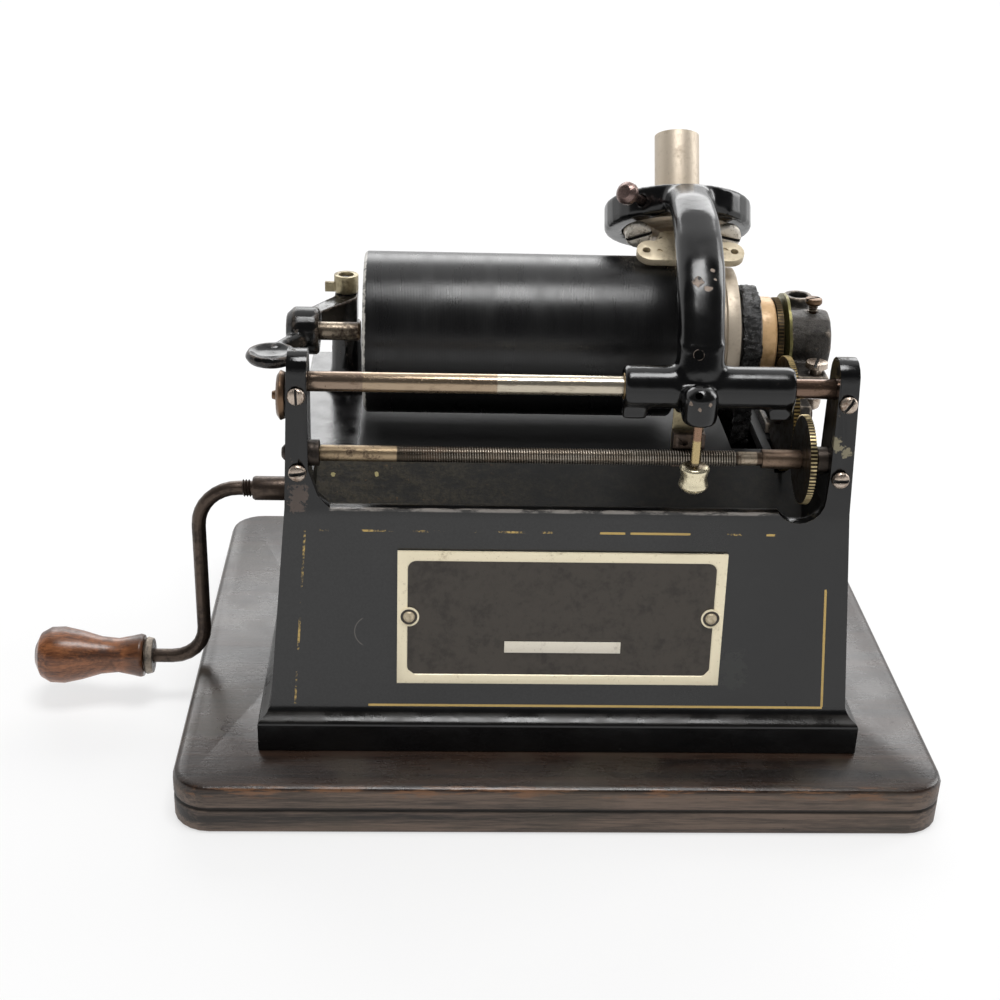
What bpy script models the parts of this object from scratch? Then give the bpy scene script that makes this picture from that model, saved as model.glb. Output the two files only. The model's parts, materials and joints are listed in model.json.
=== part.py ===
"""Cylinder phonograph: spring motor in an iron body on a wooden board.

Metres, +Z up, +X to the right and +Y to the back as the front is seen.
The origin is the middle of the board's underside.
"""
import math

import bmesh
import bpy
from mathutils import Matrix, Vector

# Clearances shared by all pieces
FIT = 0.0003                # gap between pieces that touch
OVERRUN = 0.004             # how far a cut runs past the face it opens
EDGE = 0.0009               # small chamfer of turned edges

# Record and the pieces in line with it, which set the machine's width
RECORD_LENGTH = 0.1064
RECORD_SHIFT = 0.0142       # the record's middle lies this far to the left
RECORD_RIGHT = RECORD_LENGTH / 2 - RECORD_SHIFT
RECORD_LEFT = RECORD_RIGHT - RECORD_LENGTH
MANDREL_INSET = 0.0019
MANDREL_BAND = 0.0150
MANDREL_RIM = 0.0055
MANDREL_LEFT = RECORD_LEFT + MANDREL_INSET
MANDREL_BAND_RIGHT = RECORD_RIGHT + MANDREL_BAND
MANDREL_RIGHT = MANDREL_BAND_RIGHT + MANDREL_RIM
PULLEY_LENGTH = 0.0083
PULLEY_LEFT = MANDREL_RIGHT + FIT * 2
PULLEY_RIGHT = PULLEY_LEFT + PULLEY_LENGTH
BELT_INSET = 0.0013
BELT_WIDTH = 0.0066
BELT_LEFT = PULLEY_LEFT + BELT_INSET
BELT_RIGHT = BELT_LEFT + BELT_WIDTH
DRUM_LENGTH = 0.0061
GEAR_LEFT = PULLEY_RIGHT + DRUM_LENGTH
GEAR_ROOM = 0.0080
EAR_INNER = GEAR_LEFT + GEAR_ROOM
EAR_WALL = 0.0075
EAR_LEAN = 0.0014
FACE_SPREAD = 0.0060
SKIRT_STEP = 0.0040
BOARD_MARGIN = 0.0270
FACE_TOP_HALF_WIDTH = EAR_INNER + EAR_WALL
EAR_TOP_HALF_WIDTH = FACE_TOP_HALF_WIDTH - EAR_LEAN
FACE_FLOOR_HALF_WIDTH = FACE_TOP_HALF_WIDTH + FACE_SPREAD
SKIRT_HALF_WIDTH = FACE_FLOOR_HALF_WIDTH + SKIRT_STEP
BOARD_WIDTH = (SKIRT_HALF_WIDTH + BOARD_MARGIN) * 2

# Guide rod and feed screw in front of the mandrel, which set the machine's depth
MANDREL_Y = 0.005
MANDREL_Z = 0.1354
ROD_FORWARD = 0.0630
ROD_RISE = 0.0063
SCREW_DROP = 0.0180
ROD_Y = MANDREL_Y - ROD_FORWARD
ROD_Z = MANDREL_Z + ROD_RISE
SCREW_Z = MANDREL_Z - SCREW_DROP
FACE_FORWARD = 0.0097
EAR_FRONT_LEAN = 0.0043
FACE_DEPTH_SPREAD = 0.0063
BOARD_FRONT_MARGIN = 0.0210
FACE_TOP_HALF_DEPTH = FACE_FORWARD - ROD_Y
EAR_TOP_FRONT = FACE_TOP_HALF_DEPTH - EAR_FRONT_LEAN
FACE_FLOOR_HALF_DEPTH = FACE_TOP_HALF_DEPTH + FACE_DEPTH_SPREAD
SKIRT_HALF_DEPTH = FACE_FLOOR_HALF_DEPTH + SKIRT_STEP
BOARD_DEPTH = (SKIRT_HALF_DEPTH + BOARD_FRONT_MARGIN) * 2
TROUGH_LIP = 0.0057
TROUGH_BEHIND = 0.0140
TROUGH_SLOPE = 0.0200
EAR_BEHIND = 0.0075
NUT_PAD_BEHIND = 0.0051
PLATE_BEHIND = 0.0060
TROUGH_FRONT = ROD_Y - TROUGH_LIP
TROUGH_BACK = ROD_Y + TROUGH_BEHIND
DECK_FRONT = TROUGH_BACK + TROUGH_SLOPE
EAR_BACK = ROD_Y + EAR_BEHIND
NUT_PAD_BACK = ROD_Y + NUT_PAD_BEHIND
PLATE_FRONT = ROD_Y + PLATE_BEHIND

# Wooden board with a groove round its edge
BOARD_TOP = 0.0177
BOARD_CORNER = 0.0125
BOARD_ROUND = 0.0024
GROOVE_HEIGHT = 0.0092
GROOVE_DEPTH = 0.0008

# Iron body: skirt, leaning walls and top
BODY_FLOOR = BOARD_TOP + FIT
SKIRT_TOP = 0.0287
FACE_FLOOR = 0.0310
FACE_TOP = 0.1026
EAR_TOP = 0.152
WALL = 0.005
DECK_TOP = 0.104
DECK_THICKNESS = 0.004
TROUGH_FLOOR = 0.084

# Ears that carry the rod and the feed screw
EAR_ROUND = 0.0070
EAR_FILLET = 0.010
NOTCH_RUN = 0.0068
NOTCH_RISE = 0.0127
POCKET_INSET = 0.0007
POCKET_CENTRE_X = GEAR_LEFT - POCKET_INSET
POCKET_CENTRE_Z = 0.1075
POCKET_RADIUS = 0.0083

# Guide rod and feed screw, one above the other
ROD_RADIUS = 0.0032
SCREW_RADIUS = 0.0026
JOURNAL_RADIUS = 0.0021
BUSH_RADIUS = 0.0042
BUSH_SHOULDER = 0.0032
BUSH_INNER = EAR_INNER - BUSH_SHOULDER
BUSH_DEPTH = 0.0060
THREAD_END_LEFT = 0.0280
THREAD_END_RIGHT = 0.0284
THREAD_LEFT = THREAD_END_LEFT - EAR_INNER
THREAD_RIGHT = EAR_INNER - THREAD_END_RIGHT
COLLAR_LENGTH = 0.0128
COLLAR_LEFT = GEAR_LEFT - COLLAR_LENGTH
COLLAR_RADIUS = 0.0031
END_CAP_RADIUS = 0.0079
END_CAP_DROP = 0.0048
END_CAP_THICKNESS = 0.0030

# Gear train from the mandrel to the feed screw
GEAR_FACE = 0.0020
FEED_TEETH = 72
IDLER_TEETH = 98
TRAIN_SPAN_SHARE = 1.0174    # how far the idler stands above a straight train
FEED_MODULE = math.hypot(ROD_FORWARD, SCREW_DROP) * TRAIN_SPAN_SHARE / (FEED_TEETH + IDLER_TEETH)
TRAIN_SLACK = 0.00025
TOOTH_SHARE = 0.80

# Mandrel axis
SHAFT_RADIUS = 0.0032
SHAFT_POINT = 0.0025
RECORD_RADIUS = 0.0278
RECORD_BORE_LEFT = 0.0213
RECORD_BORE_RIGHT = 0.0231
MANDREL_RIM_RADIUS = 0.0245
MANDREL_WALL = 0.0025
BELT_SEAT_RADIUS = 0.0170
BELT_THICKNESS = 0.0014
DRUM_RADIUS = 0.0146
FLANGE_RADIUS = 0.0160
FLANGE_DISH = 0.0012
FLANGE_THICKNESS = 0.0010

# Right-hand bearing bracket
BRACKET_SETBACK = 0.0020
BRACKET_LENGTH = 0.0095
BRACKET_WEB_SETBACK = 0.0030
BRACKET_WEB = 0.0043
BRACKET_FOOT_INSET = 0.0060
BRACKET_FOOT = 0.0155
BRACKET_LEFT = EAR_INNER + BRACKET_SETBACK
BRACKET_RIGHT = BRACKET_LEFT + BRACKET_LENGTH
BRACKET_RADIUS = 0.0108
BRACKET_WEB_LEFT = EAR_INNER - BRACKET_WEB_SETBACK
BRACKET_WEB_RIGHT = BRACKET_WEB_LEFT + BRACKET_WEB
BRACKET_FOOT_LEFT = BRACKET_WEB_LEFT - BRACKET_FOOT_INSET
BRACKET_FOOT_RIGHT = BRACKET_FOOT_LEFT + BRACKET_FOOT
SHAFT_OVERHANG = 0.0005
SHAFT_SETBACK = 0.0015
SHAFT_LEFT = MANDREL_LEFT - SHAFT_OVERHANG
SHAFT_RIGHT = BRACKET_RIGHT - SHAFT_SETBACK
BRACKET_FOOT_FRONT = -0.0085
BRACKET_FOOT_BACK = 0.0225
BRACKET_FOOT_HEIGHT = 0.0040
CAP_SCREW_HEAD = 0.0031
CAP_SCREW_SHANK = 0.0014
CAP_SCREW_TOP = 0.1505
CAP_SCREW_HEIGHT = 0.0023
OIL_CUP_RADIUS = 0.0052
OIL_CUP_BORE = 0.0034
OIL_CUP_INSET = 0.0015
OIL_CUP_X = BRACKET_LEFT + OIL_CUP_INSET
OIL_CUP_Y = 0.0190
OIL_CUP_TOP = 0.1472
OIL_CUP_HEIGHT = 0.0040
OIL_LUG_HALF = 0.0046
SPEED_SCREW_INSET = 0.0025
SPEED_SCREW_X = BRACKET_LEFT + SPEED_SCREW_INSET
SPEED_SCREW_Y = -0.0150
SPEED_SCREW_TOP = 0.1346
SPEED_SCREW_BOTTOM = 0.1172
SPEED_HEAD_RADIUS = 0.0039
SPEED_SHANK_RADIUS = 0.0020
SPEED_TIP_RADIUS = 0.0028
SPEED_LUG_BOTTOM = 0.1248
SPEED_LUG_HEIGHT = 0.0056
SPEED_LUG_HALF = 0.0040
STUD_RADIUS = 0.0022

# Swinging end gate on the left
POST_INSET = 0.0073
GATE_X = POST_INSET - EAR_INNER
GATE_Y = 0.035
POST_RADIUS = 0.0058
POST_FOOT_RADIUS = 0.0090
POST_FOOT_HEIGHT = 0.0070
POST_TOP = 0.1285
GATE_TOP = 0.1395
GATE_HALF = 0.0042
HINGE_PIN_RADIUS = 0.0024
RING_RADIUS = 0.0044
RING_TOP = 0.1462
HUB_GAP = 0.0005
HUB_LENGTH = 0.0095
HUB_RIGHT = -EAR_INNER - HUB_GAP
HUB_LEFT = HUB_RIGHT - HUB_LENGTH
HUB_RADIUS = 0.0083
GATE_PIN_RADIUS = 0.0032
GATE_PIN_SOCKET = 0.0050
THUMB_REACH = 0.0050
THUMB_X = HUB_LEFT - THUMB_REACH
THUMB_Y = -0.0180
THUMB_RADIUS = 0.0090
THUMB_BOTTOM = 0.1318
THUMB_HEIGHT = 0.0050
THUMB_DISH = 0.0022

# Carriage: sleeve, arm, ring and knob
SLEEVE_SETBACK = 0.0127
SLEEVE_LENGTH = 0.0545
SLEEVE_RIGHT = EAR_INNER - SLEEVE_SETBACK
SLEEVE_LEFT = SLEEVE_RIGHT - SLEEVE_LENGTH
SLEEVE_RADIUS = 0.0069
SLEEVE_BORE = 0.0045
PAD_LENGTH = 0.0085
PAD_DROP = 0.0030
PAD_HALF = 0.0042
ARM_X = RECORD_RIGHT
RING_SHIFT = 0.0030
RING_X = ARM_X + RING_SHIFT
RING_BEHIND = 0.0210
RING_RISE = 0.0316
RING_Y = MANDREL_Y + RING_BEHIND
RING_Z = MANDREL_Z + RING_RISE
BODY_RADIUS = 0.0190
RING_SEAT = 0.00035
RING_WALL = 0.00645
RING_BORE = BODY_RADIUS + RING_SEAT
RING_OUTER = RING_BORE + RING_WALL
RING_HEIGHT = 0.0100
RING_TILT = math.radians(32)
LUG_SHIFT = 0.0007
LUG_X = ARM_X - LUG_SHIFT
LUG_FORWARD = 0.0123
LUG_Y = ROD_Y - LUG_FORWARD
LUG_RADIUS = 0.0057
LUG_BOTTOM = 0.1345
LUG_TOP = 0.1470
KNOB_ROD_RADIUS = 0.00145
KNOB_ROD_SEAT = 0.0050
KNOB_TOP = 0.1206
KNOB_HEIGHT = 0.0093
KNOB_RADIUS = 0.0048
NUT_REACH = 0.0062
NUT_WIDTH = 0.0108
NUT_LEFT = ARM_X - NUT_REACH
NUT_RIGHT = NUT_LEFT + NUT_WIDTH
NUT_BOTTOM = 0.1138
NUT_TOP = 0.1252
SPRING_THICKNESS = 0.0006
SPRING_BOTTOM = 0.1160
SPRING_TOP = 0.1355

# Reproducer held in the ring
BODY_DROP = 0.0012
BODY_RISE = 0.0112
NECK_RADIUS = 0.0079
NECK_BORE = 0.0068
NECK_TOP = 0.0348
NECK_DEPTH = 0.0260
HEAD_RADIUS = 0.0047
HEAD_LENGTH = 0.0030
HEAD_INSET = 0.0036
HEAD_SPREAD = BODY_RADIUS - HEAD_INSET
HEAD_SETBACK = 0.0050
HEAD_DROP = 0.0059
HEAD_BOSS = 0.0030
HEAD_TILT = math.radians(80)
TAIL_NECK_GAP = 0.0015
TAIL_NECK = HEAD_SPREAD - HEAD_RADIUS - TAIL_NECK_GAP
WEIGHT_INSET = 0.0007
WEIGHT_HALF = TAIL_NECK - WEIGHT_INSET
WEIGHT_FRONT_INSET = 0.0038
WEIGHT_BACK_INSET = 0.0033
WEIGHT_FRONT = BODY_RADIUS - WEIGHT_FRONT_INSET
WEIGHT_BACK = BODY_RADIUS - WEIGHT_BACK_INSET
WEIGHT_DROP = 0.0045
WEIGHT_THICKNESS = 0.0017
TAIL_TILT = math.radians(23.5)
TAIL_SHIFT = 0.0013
TAIL_OUT = 0.0064
TAIL_RAISE = 0.0011
TAIL_JOIN = 0.0030
TAIL_DROP = BODY_RADIUS - TAIL_RAISE
TAIL_LENGTH = TAIL_DROP - TAIL_JOIN
TAIL_THICKNESS = 0.0026
TAIL_NECK_BACK = 0.0115
TAIL_EAR_REACH = 0.0134
TAIL_EAR_RADIUS = 0.0050
TAIL_HOLE_REACH = 0.0150
TAIL_HOLE = 0.0014
HINGE_LUG = 0.0030
STYLUS_FRONT = 0.0011
STYLUS_LENGTH = 0.0035
STYLUS_RADIUS = 0.0011
CLAMP_ANGLE = math.radians(37)
CLAMP_SHANK = 0.0015
CLAMP_HEAD_RADIUS = 0.0039
CLAMP_REACH = 0.0072
CLAMP_HEAD_NEAR = RING_OUTER + CLAMP_REACH
CLAMP_HEAD_THICKNESS = 0.0045

# Crank and its handle
CRANK_Y = -0.020
CRANK_Z = 0.0866
CRANK_SHAFT_RADIUS = 0.0030
CRANK_SLEEVE_RADIUS = 0.0042
CRANK_SLEEVE_GAP = 0.0036
CRANK_SLEEVE_LENGTH = 0.0116
CRANK_SLEEVE_RIGHT = -FACE_TOP_HALF_WIDTH - CRANK_SLEEVE_GAP
CRANK_SLEEVE_LEFT = CRANK_SLEEVE_RIGHT - CRANK_SLEEVE_LENGTH
CRANK_BUSH_RADIUS = 0.0058
CRANK_BUSH_FLANGE = 0.0070
CRANK_ROD_RADIUS = 0.0025
CRANK_REACH = 0.0193
CRANK_ARM_X = CRANK_SLEEVE_LEFT - CRANK_REACH
CRANK_UPPER_BEND = 0.0145
CRANK_LOWER_BEND = 0.0120
CRANK_THROW = 0.0677
HANDLE_REACH = 0.0220
HANDLE_LENGTH = 0.0385
HANDLE_RIGHT = CRANK_ARM_X - HANDLE_REACH
HANDLE_LEFT = HANDLE_RIGHT - HANDLE_LENGTH
HANDLE_RADIUS = 0.01035
HANDLE_BORE = 0.0028
HANDLE_BORE_DEPTH = 0.0300
FERRULE_RADIUS = 0.0068
FERRULE_THICKNESS = 0.0030

# Spring motor under the deck
PLATE_INSET_LEFT = 0.0165
PLATE_INSET_RIGHT = 0.0285
PLATE_LEFT = PLATE_INSET_LEFT - EAR_INNER
PLATE_RIGHT = EAR_INNER - PLATE_INSET_RIGHT
CRANK_PINION_INSET = 0.0100
CRANK_SHAFT_RIGHT = PLATE_LEFT + CRANK_PINION_INSET
PLATE_THICKNESS = 0.0025
PLATE_FOOT = 0.0240
PLATE_BACK = 0.0500
FLANGE_Y = 0.0190
FLANGE_REACH = 0.0080
PILLAR_RADIUS = 0.0030
PIVOT_RADIUS = 0.0015
LUG_SCREW_RADIUS = 0.0016
MOTOR_MODULE = 0.0008
WINDING_MODULE = 0.0010
CRANK_TEETH = 16
WINDING_TEETH = 48
BARREL_Y = CRANK_Y
BARREL_Z = CRANK_Z - (CRANK_TEETH + WINDING_TEETH) * WINDING_MODULE / 2 - TRAIN_SLACK
BARREL_RADIUS = 0.0290
BARREL_WALL = 0.0015
BARREL_INSET = 0.0160
BARREL_LEFT = PLATE_LEFT + BARREL_INSET
BARREL_RIGHT = PLATE_RIGHT - PLATE_THICKNESS * 24
RATCHET_TEETH = 24
RATCHET_RADIUS = 0.0090
GREAT_TEETH = 80
SECOND_PINION_TEETH = 12
SECOND_TEETH = 50
SHAFT_PINION_TEETH = 10
SHAFT_TEETH = 38
GOVERNOR_TEETH = 8
PULLEY_SHAFT_Y = 0.0080
GOVERNOR_DISC_RADIUS = 0.0100
MOTOR_PULLEY_RADIUS = 0.0086
ARBOR_RADIUS = 0.0030
SMALL_ARBOR_RADIUS = 0.0018
SPRING_STRIP = 0.0007
SPRING_TURNS = 5

# Nameplate, left bare
NAME_PLATE_X = -0.0012
NAME_PLATE_LOW = 0.0421
NAME_PLATE_WIDTH = 0.1062
NAME_PLATE_HEIGHT = 0.0468
NAME_PLATE_THICKNESS = 0.0010
NAME_PLATE_BORDER = 0.0027
NAME_PLATE_RECESS = 0.0003

# Board screws in the body's inner corners
END_LUG = 0.0140
END_LUG_HEIGHT = 0.0060
BOARD_SCREW_RADIUS = 0.0018
BOARD_SCREW_HEAD = 0.0036
BOARD_SCREW_LENGTH = 0.0150

# Ear screws: height of each pair and head size
EAR_SCREW_SETBACK = 0.0032
EAR_SCREW_X = EAR_INNER + EAR_SCREW_SETBACK
EAR_SCREW_UPPER = 0.1393
EAR_SCREW_LOWER = 0.1145
EAR_SCREW_HEAD = 0.0029
EAR_SCREW_SHANK = 0.0012
EAR_SCREW_DOME = 0.0018

FINISHES = {
    "japan_black": ((0.012, 0.012, 0.013), 0.28, 0.0),
    "worn_iron": ((0.05, 0.048, 0.045), 0.45, 0.7),
    "walnut": ((0.055, 0.030, 0.018), 0.55, 0.0),
    "stained_beech": ((0.16, 0.055, 0.02), 0.40, 0.0),
    "steel": ((0.42, 0.38, 0.34), 0.35, 0.9),
    "nickel": ((0.62, 0.58, 0.50), 0.30, 0.9),
    "brass": ((0.45, 0.32, 0.14), 0.38, 0.9),
    "tan_drum": ((0.42, 0.25, 0.10), 0.45, 0.2),
    "leather": ((0.02, 0.018, 0.017), 0.60, 0.0),
    "wax": ((0.012, 0.011, 0.012), 0.42, 0.0),
    "plate_panel": ((0.50, 0.44, 0.32), 0.45, 0.4),
}


def material(finish):
    """The named finish as a Principled material, made once."""
    found = bpy.data.materials.get(finish)
    if found:
        return found
    colour, roughness, metallic = FINISHES[finish]
    made = bpy.data.materials.new(finish)
    made.use_nodes = True
    shader = made.node_tree.nodes["Principled BSDF"]
    shader.inputs["Base Color"].default_value = (*colour, 1.0)
    shader.inputs["Roughness"].default_value = roughness
    shader.inputs["Metallic"].default_value = metallic
    return made


def along_x(x, y, z):
    """Place whose local X, Y and Z run along the world's Y, Z and X."""
    return Matrix(((0, 0, 1, x), (1, 0, 0, y), (0, 1, 0, z), (0, 0, 0, 1)))


def along_y(x, y, z):
    """Place whose local X, Y and Z run along the world's X, Z and Y."""
    return Matrix(((1, 0, 0, x), (0, 0, 1, y), (0, 1, 0, z), (0, 0, 0, 1)))


def along_z(x, y, z):
    """Place with the world's own directions."""
    return Matrix.Translation((x, y, z))


def tilted(x, y, z, angle):
    """Place whose local Z leans back from the world's Z by the angle."""
    return Matrix.Translation((x, y, z)) @ Matrix.Rotation(-angle, 4, "X")


def arc(centre, radius, start, stop, steps):
    """Points of an arc in a plane, both ends included."""
    turn = (stop - start) / steps
    return [
        (centre[0] + radius * math.cos(start + turn * i),
         centre[1] + radius * math.sin(start + turn * i))
        for i in range(steps + 1)
    ]


def circle(centre, radius, sides):
    """Points of a full circle in a plane."""
    return arc(centre, radius, 0, 2 * math.pi, sides)[:-1]


def rectangle(left, low, right, high):
    """Corners of a rectangle."""
    return [(left, low), (right, low), (right, high), (left, high)]


def rounded_rectangle(half_width, half_depth, radius, steps):
    """Rectangle about the origin with round corners."""
    points = []
    for quarter, (side_x, side_y) in enumerate([(1, 1), (-1, 1), (-1, -1), (1, -1)]):
        centre = (side_x * (half_width - radius), side_y * (half_depth - radius))
        start = quarter * math.pi / 2
        points += arc(centre, radius, start, start + math.pi / 2, steps)
    return points


def gear_outline(teeth, module, sides_share=TOOTH_SHARE):
    """Outline of a gear with pointed teeth, one tip and one root each."""
    pitch = teeth * module / 2
    tip = pitch + module * sides_share
    root = pitch - module
    points = []
    for i in range(teeth):
        turn = 2 * math.pi * i / teeth
        half = math.pi / teeth
        points.append((tip * math.cos(turn), tip * math.sin(turn)))
        points.append((root * math.cos(turn + half), root * math.sin(turn + half)))
    return points


def turned_outline(points, angle):
    """The outline turned about the origin."""
    c, s = math.cos(angle), math.sin(angle)
    return [(x * c - y * s, x * s + y * c) for x, y in points]


def pour(target, scratch, place):
    """Add the scratch mesh to the target at the place."""
    scratch.transform(place)
    made = bpy.data.meshes.new("scratch")
    scratch.to_mesh(made)
    scratch.free()
    target.from_mesh(made)
    bpy.data.meshes.remove(made)


def turned(target, place, profile, sides):
    """Turn a profile of (along, radius) about the place's Z axis.

    A profile that starts and ends at radius zero is solid, and any other
    closes from its last point to its first round a bore.
    """
    scratch = bmesh.new()
    rings = []
    for along, radius in profile:
        if radius == 0:
            rings.append([scratch.verts.new((0, 0, along))])
        else:
            rings.append([scratch.verts.new((u, v, along))
                          for u, v in circle((0, 0), radius, sides)])
    pairs = list(zip(rings, rings[1:]))
    if len(rings[0]) > 1:
        pairs.append((rings[-1], rings[0]))
    for near, far in pairs:
        for i in range(sides):
            j = (i + 1) % sides
            corners = [near[i % len(near)], near[j % len(near)],
                       far[j % len(far)], far[i % len(far)]]
            corners = list(dict.fromkeys(corners))
            if len(corners) > 2:
                scratch.faces.new(corners)
    pour(target, scratch, place)


def plate(target, place, outlines, near, far):
    """Extrude a flat outline, less its inner outlines, along the place's Z."""
    scratch = bmesh.new()
    for outline in outlines:
        corners = [scratch.verts.new((u, v, near)) for u, v in outline]
        for one, other in zip(corners, corners[1:] + corners[:1]):
            scratch.edges.new((one, other))
    bmesh.ops.triangle_fill(scratch, use_beauty=True, use_dissolve=False,
                            edges=scratch.edges[:])
    grown = bmesh.ops.extrude_face_region(scratch, geom=scratch.faces[:])
    lifted = [item for item in grown["geom"] if isinstance(item, bmesh.types.BMVert)]
    bmesh.ops.translate(scratch, verts=lifted, vec=(0, 0, far - near))
    pour(target, scratch, place)


def block(target, low, high):
    """Box between two corners."""
    plate(target, along_z(0, 0, 0), [rectangle(low[0], low[1], high[0], high[1])],
          low[2], high[2])


def loft(target, sections):
    """Skin through sections of as many points each, closed at both ends."""
    rings = [[target.verts.new(point) for point in section] for section in sections]
    for near, far in zip(rings, rings[1:]):
        for i in range(len(near)):
            j = (i + 1) % len(near)
            target.faces.new((near[i], near[j], far[j], far[i]))
    target.faces.new(rings[0])
    target.faces.new(rings[-1])


def swept(target, points, radius, sides, side=(0, 1, 0)):
    """Round rod along points that lie in a plane square to the side vector."""
    points = [Vector(point) for point in points]
    across = Vector(side)
    sections = []
    for i, point in enumerate(points):
        ahead = points[min(i + 1, len(points) - 1)] - points[max(i - 1, 0)]
        up = ahead.normalized().cross(across)
        sections.append([point + across * (radius * u) + up * (radius * v)
                         for u, v in circle((0, 0), 1, sides)])
    loft(target, sections)


def make_mesh(name, shape, pivot):
    """Finish the shape as a mesh whose origin is the pivot."""
    bmesh.ops.remove_doubles(shape, verts=shape.verts[:], dist=FIT / 100)
    bmesh.ops.recalc_face_normals(shape, faces=shape.faces[:])
    bmesh.ops.translate(shape, verts=shape.verts[:], vec=-Vector(pivot))
    mesh = bpy.data.meshes.new(name)
    shape.to_mesh(mesh)
    shape.free()
    mesh.shade_smooth()
    mesh.set_sharp_from_angle(angle=math.radians(32))
    return mesh


def piece(name, shape, finish, axis=None):
    """Named piece of one finish, parented to its axis when it moves."""
    pivot = axis.location if axis else Vector((0, 0, 0))
    made = bpy.data.objects.new(name, make_mesh(name, shape, pivot))
    made.data.materials.append(material(finish))
    bpy.context.scene.collection.objects.link(made)
    made.parent = axis
    return made


def guide(name, shape):
    """Hidden shape that cuts or joins a piece."""
    made = bpy.data.objects.new(name, make_mesh(name, shape, (0, 0, 0)))
    bpy.context.scene.collection.objects.link(made)
    made.hide_render = True
    made.display_type = "WIRE"
    return made


def combine(target, shape, operation):
    """Boolean of the target with a shape, kept as a modifier."""
    tool = guide(f"{target.name}_{operation.lower()}_{len(target.modifiers)}", shape)
    pivot = target.parent.location if target.parent else Vector((0, 0, 0))
    tool.location = (0, 0, 0)
    if target.parent:
        tool.parent = target.parent
        tool.location = -pivot
    change = target.modifiers.new(operation.title(), "BOOLEAN")
    change.operation = operation
    change.solver = "EXACT"
    change.object = tool


def axis_empty(name, x, y, z):
    """Empty on the axis of a moving body."""
    made = bpy.data.objects.new(name, None)
    made.location = (x, y, z)
    bpy.context.scene.collection.objects.link(made)
    return made


def ramp(z, low, high, value_low, value_high):
    """Value at a height between two heights."""
    return value_low + (value_high - value_low) * (z - low) / (high - low)


def body_half_width(z):
    """Outer half width of the iron body at a height above its skirt."""
    if z < FACE_TOP:
        return ramp(z, FACE_FLOOR, FACE_TOP, FACE_FLOOR_HALF_WIDTH, FACE_TOP_HALF_WIDTH)
    return ramp(z, FACE_TOP, EAR_TOP, FACE_TOP_HALF_WIDTH, EAR_TOP_HALF_WIDTH)


def body_front(z):
    """Y of the body's leaning front face at a height."""
    if z < FACE_TOP:
        return -ramp(z, FACE_FLOOR, FACE_TOP, FACE_FLOOR_HALF_DEPTH, FACE_TOP_HALF_DEPTH)
    return -ramp(z, FACE_TOP, EAR_TOP, FACE_TOP_HALF_DEPTH, EAR_TOP_FRONT)


def board_screw_places():
    """Middle of each screw that holds the body to the board."""
    reach = FACE_FLOOR_HALF_WIDTH - WALL - END_LUG / 2
    return {"left": (-reach, 0), "right": (reach, 0)}


def board_level(z, inset):
    """Outline of the board at a height, drawn in by the inset."""
    outline = rounded_rectangle(BOARD_WIDTH / 2 - inset, BOARD_DEPTH / 2 - inset,
                                BOARD_CORNER - inset, 6)
    return [(x, y, z) for x, y in outline]


def make_board():
    """Wooden base with a groove round its edge and a rounded top."""
    knee = BOARD_ROUND * 0.3
    levels = [
        (0, EDGE), (EDGE, 0), (GROOVE_HEIGHT - GROOVE_DEPTH, 0), (GROOVE_HEIGHT, GROOVE_DEPTH),
        (GROOVE_HEIGHT + GROOVE_DEPTH, 0), (BOARD_TOP - BOARD_ROUND, 0),
        (BOARD_TOP - knee, knee), (BOARD_TOP, BOARD_ROUND),
    ]
    shape = bmesh.new()
    loft(shape, [board_level(z, inset) for z, inset in levels])
    board = piece("base_board", shape, "walnut")
    shape = bmesh.new()
    floor = board_screw_seat() - BOARD_SCREW_LENGTH - FIT
    for x, y in board_screw_places().values():
        rod(shape, along_z(x, y, 0), BOARD_SCREW_RADIUS + FIT, floor, BOARD_TOP + OVERRUN, 8)
    combine(board, shape, "DIFFERENCE")


def board_screw_seat():
    """Height of the underside of the board screws' heads."""
    return BODY_FLOOR + END_LUG_HEIGHT + FIT


def make_board_screws():
    """Wood screws down through the body's end lugs."""
    seat = board_screw_seat()
    tip = seat - BOARD_SCREW_LENGTH
    for side, (x, y) in board_screw_places().items():
        shape = bmesh.new()
        turned(shape, along_z(x, y, 0),
               [(tip, 0), (tip + BOARD_SCREW_RADIUS, BOARD_SCREW_RADIUS),
                (seat, BOARD_SCREW_RADIUS), (seat, BOARD_SCREW_HEAD),
                (seat + BOARD_SCREW_RADIUS, BOARD_SCREW_HEAD * 0.6),
                (seat + BOARD_SCREW_RADIUS, 0)], 8)
        piece(f"base_screw_{side}", shape, "steel")


def body_outer():
    """Outer skin of the iron body as a stack of rectangles."""
    levels = [
        (BODY_FLOOR, SKIRT_HALF_WIDTH, -SKIRT_HALF_DEPTH, SKIRT_HALF_DEPTH),
        (SKIRT_TOP, SKIRT_HALF_WIDTH, -SKIRT_HALF_DEPTH, SKIRT_HALF_DEPTH),
        (FACE_FLOOR, FACE_FLOOR_HALF_WIDTH, -FACE_FLOOR_HALF_DEPTH, FACE_FLOOR_HALF_DEPTH),
        (FACE_TOP, FACE_TOP_HALF_WIDTH, -FACE_TOP_HALF_DEPTH, FACE_TOP_HALF_DEPTH),
        (EAR_TOP, EAR_TOP_HALF_WIDTH, -EAR_TOP_FRONT, FACE_TOP_HALF_DEPTH),
    ]
    shape = bmesh.new()
    loft(shape, [[(x, y, z) for x, y in rectangle(-half, front, half, back)]
                 for z, half, front, back in levels])
    return shape


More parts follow.
